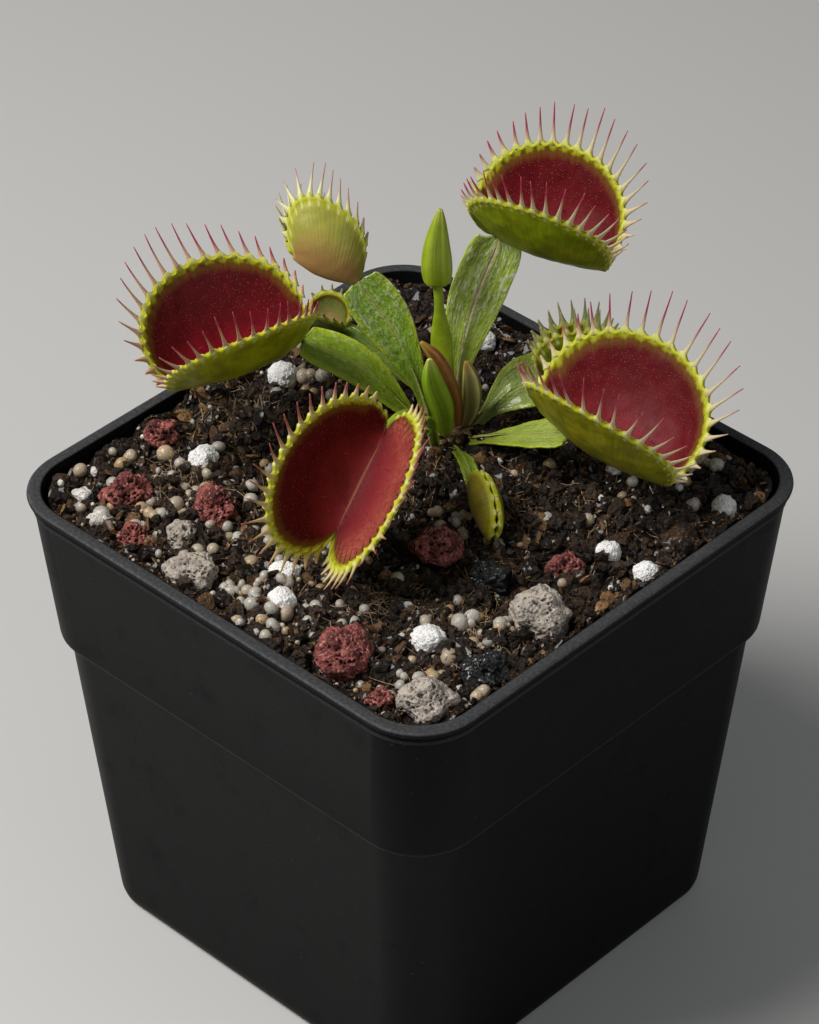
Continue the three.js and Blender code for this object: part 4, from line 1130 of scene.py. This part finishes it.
class FLYTRAP_OT_pot(bpy.types.Operator):
    """Build the square nursery pot: a shell of rounded squares with four drain holes"""
    bl_idname = "flytrap.pot"
    bl_label = "Pot"

    def execute(self, context):
        top = POT_HEIGHT
        bead = np.linspace(-math.pi / 2, math.pi / 2, 9)
        rim = [(RIM_HALF - 0.5 + 0.5 * math.cos(a), 10.8, top - 0.6 + 0.6 * math.sin(a)) for a in bead]
        # Half width, corner radius and height, from the middle of the underside up and over
        rings = [
            (0.2, 0.05, 0), (BASE_HALF - 1.6, 6.5, 0), (BASE_HALF - 0.9, 7.1, 0.25), (BASE_HALF - 0.4, 7.5, 0.9),
            (BASE_HALF, 8, 2), (BASE_HALF + 0.1, 8, 3), (BODY_HALF - 0.05, 9.8, STEP_Z - 1.8),
            (BODY_HALF + 0.15, 9.9, STEP_Z - 1.3), (BODY_HALF + 0.9, 10.2, STEP_Z - 0.7),
            (COLLAR_HALF - 0.1, 10.4, STEP_Z - 0.3), (COLLAR_HALF, 10.5, STEP_Z + 0.2),
            (COLLAR_TOP_HALF - 0.1, 10.6, top - 3.0), (COLLAR_TOP_HALF + 0.12, 10.65, top - 2.7),
            (COLLAR_TOP_HALF + 0.12, 10.65, top - 2.3), (COLLAR_TOP_HALF - 0.02, 10.6, top - 2.0),
            (COLLAR_TOP_HALF, 10.6, top - 1.5), *rim,
            (RIM_HALF - 0.8, 10.4, top), (RIM_HALF - 1.8, 9.4, top - 0.03), (RIM_HALF - 2.1, 9, top - 0.12),
            (RIM_HALF - 2.25, 8.9, top - 0.5),
            (COLLAR_HALF - WALL + 0.1, 8.9, STEP_Z + 0.6), (BODY_HALF - WALL, 8.3, STEP_Z - 1.2),
            (BASE_HALF - WALL, 6.6, FLOOR + 1), (BASE_HALF - WALL - 1, 6, FLOOR), (0.2, 0.05, FLOOR),
        ]
        # Lightest on the rim's top, then its outer edge, the line below it and the collar's step: partly wear,
        # partly painted highlight
        worn = np.array([
            0.8 * (z > top - 0.2 and half > RIM_HALF - 2) + 0.4 * (z > top - 0.45 and half > RIM_HALF - 0.3)
            + 0.4 * (top - 2.8 < z < top - 2.2) + 0.35 * (abs(z - STEP_Z + 0.3) < 0.1) for half, _, z in rings])
        shape = Shape()
        shape.rings(np.array([rounded_square(*ring, 16, 3) for ring in rings]), worn=worn[:, None])
        material = plastic_material(tuple(context.scene.flytrap_pot.plastic))
        pot = shape.build("pot_moulded", "pot_plastic", [material], ["pot"])
        drills = Shape()
        angle = np.linspace(0, 2 * np.pi, 40, endpoint=False)
        for x, y in ((1, 0), (0, 1), (-1, 0), (0, -1)):
            circle = np.stack([DRAIN_RADIUS * np.cos(angle) + x * DRAIN_OFFSET,
                               DRAIN_RADIUS * np.sin(angle) + y * DRAIN_OFFSET, 0 * angle], axis=-1)
            drills.rings(np.stack([circle + [0, 0, -2], circle + [0, 0, 2 * FLOOR]]))
        drill = drills.build("drills", "pot_plastic", [material])
        cut = pot.modifiers.new("drains", "BOOLEAN")
        cut.operation, cut.object, cut.solver = "DIFFERENCE", drill, "EXACT"
        with_holes = bpy.data.meshes.new_from_object(pot.evaluated_get(context.evaluated_depsgraph_get()))
        pot.modifiers.clear()
        pot.data = with_holes
        with_holes.set_sharp_from_angle(angle=math.radians(32))
        bpy.data.objects.remove(drill)
        return {"FINISHED"}


class FLYTRAP_OT_stage(bpy.types.Operator):
    """Set the floor, the soft lights and the camera"""
    bl_idname = "flytrap.stage"
    bl_label = "Stage"

    azimuth, elevation, distance = 43.5, 37.7, 643.7
    lens, sensor, shift_x, shift_y = 146.8, 36, -0.0011, -0.0296
    floor_half, sky, sky_power = 3, (0.86, 0.88, 0.9, 1), 0.15

    def light(self, name, place, target, size, power, colour):
        data = bpy.data.lights.new(name, "AREA")
        data.shape, data.size, data.energy, data.color = "DISK", size, power, colour
        obj = bpy.data.objects.new(name, data)
        obj.location = place
        obj.rotation_euler = (Vector(target) - Vector(place)).to_track_quat("-Z", "Y").to_euler()
        bpy.context.scene.collection.objects.link(obj)

    def execute(self, context):
        stage = context.scene.flytrap_stage
        mesh = bpy.data.meshes.new("floor")
        far = self.floor_half
        corners = [(-far, -far, 0), (far, -far, 0), (far, far, 0), (-far, far, 0)]
        mesh.from_pydata(corners, [], [(0, 1, 2, 3)])
        floor = bpy.data.objects.new("floor", mesh)
        context.scene.collection.objects.link(floor)
        shader = Shader("floor_pale", 0.7)
        mesh.materials.append(shader.finish(tuple(stage.floor)))
        a, e = math.radians(self.azimuth), math.radians(self.elevation)
        back = Vector((math.sin(a) * math.cos(e), -math.cos(a) * math.cos(e), math.sin(e)))
        right = Vector((math.cos(a), math.sin(a), 0))
        away = Vector((-math.sin(a), math.cos(a), 0))
        centre = Vector((0, 0, POT_HEIGHT * MM))
        camera = bpy.data.objects.new("camera", bpy.data.cameras.new("camera"))
        camera.location = centre + back * self.distance * MM
        camera.rotation_euler = (-back).to_track_quat("-Z", "Y").to_euler()
        camera.data.lens, camera.data.sensor_width = self.lens, self.sensor
        camera.data.shift_x, camera.data.shift_y = self.shift_x, self.shift_y
        camera.data.clip_start = 0.01
        context.scene.collection.objects.link(camera)
        context.scene.camera = camera
        up = Vector((0, 0, 1))
        key, fill = -right * 0.45 - away * 0.1 + up * 0.58, right * 0.6 - away * 0.4 + up * 0.35
        self.light("key", centre + key, centre, 0.42, stage.key, (1, 0.98, 0.95))
        self.light("fill", centre + fill, centre, 0.6, stage.fill, (0.95, 0.98, 1))
        world = bpy.data.worlds.new("studio")
        world.use_nodes = True
        background = world.node_tree.nodes["Background"]
        background.inputs["Color"].default_value = self.sky
        background.inputs["Strength"].default_value = self.sky_power
        context.scene.world = world
        context.scene.view_settings.view_transform = "Standard"
        return {"FINISHED"}


class FLYTRAP_PT_panel(bpy.types.Panel):
    """Lists the operators and their settings"""
    bl_idname = "FLYTRAP_PT_panel"
    bl_label = "Potted Flytrap"
    bl_space_type = "VIEW_3D"
    bl_region_type = "UI"
    bl_category = "Flytrap"

    def draw(self, context):
        for operator in OPERATORS:
            self.layout.operator(operator.bl_idname)
        for group in SETTINGS:
            box = self.layout.box()
            for key in SETTINGS[group].__annotations__:
                box.prop(getattr(context.scene, group), key)


OPERATORS = [FLYTRAP_OT_stage, FLYTRAP_OT_pot, FLYTRAP_OT_soil, FLYTRAP_OT_stones, FLYTRAP_OT_crown,
             FLYTRAP_OT_young_leaves, FLYTRAP_OT_leaves]
SETTINGS = {"flytrap_plant": PlantSettings, "flytrap_soil": SoilSettings, "flytrap_pot": PotSettings,
            "flytrap_stage": StageSettings}


def register():
    for group, settings in SETTINGS.items():
        bpy.utils.register_class(settings)
        setattr(bpy.types.Scene, group, bpy.props.PointerProperty(type=settings))
    for cls in (*OPERATORS, FLYTRAP_PT_panel):
        bpy.utils.register_class(cls)


def unregister():
    for cls in (FLYTRAP_PT_panel, *reversed(OPERATORS)):
        bpy.utils.unregister_class(cls)
    for group, settings in SETTINGS.items():
        delattr(bpy.types.Scene, group)
        bpy.utils.unregister_class(settings)


def main():
    register()
    for operator in OPERATORS:
        group, name = operator.bl_idname.split(".")
        getattr(getattr(bpy.ops, group), name)()


if __name__ == "__main__":
    main()
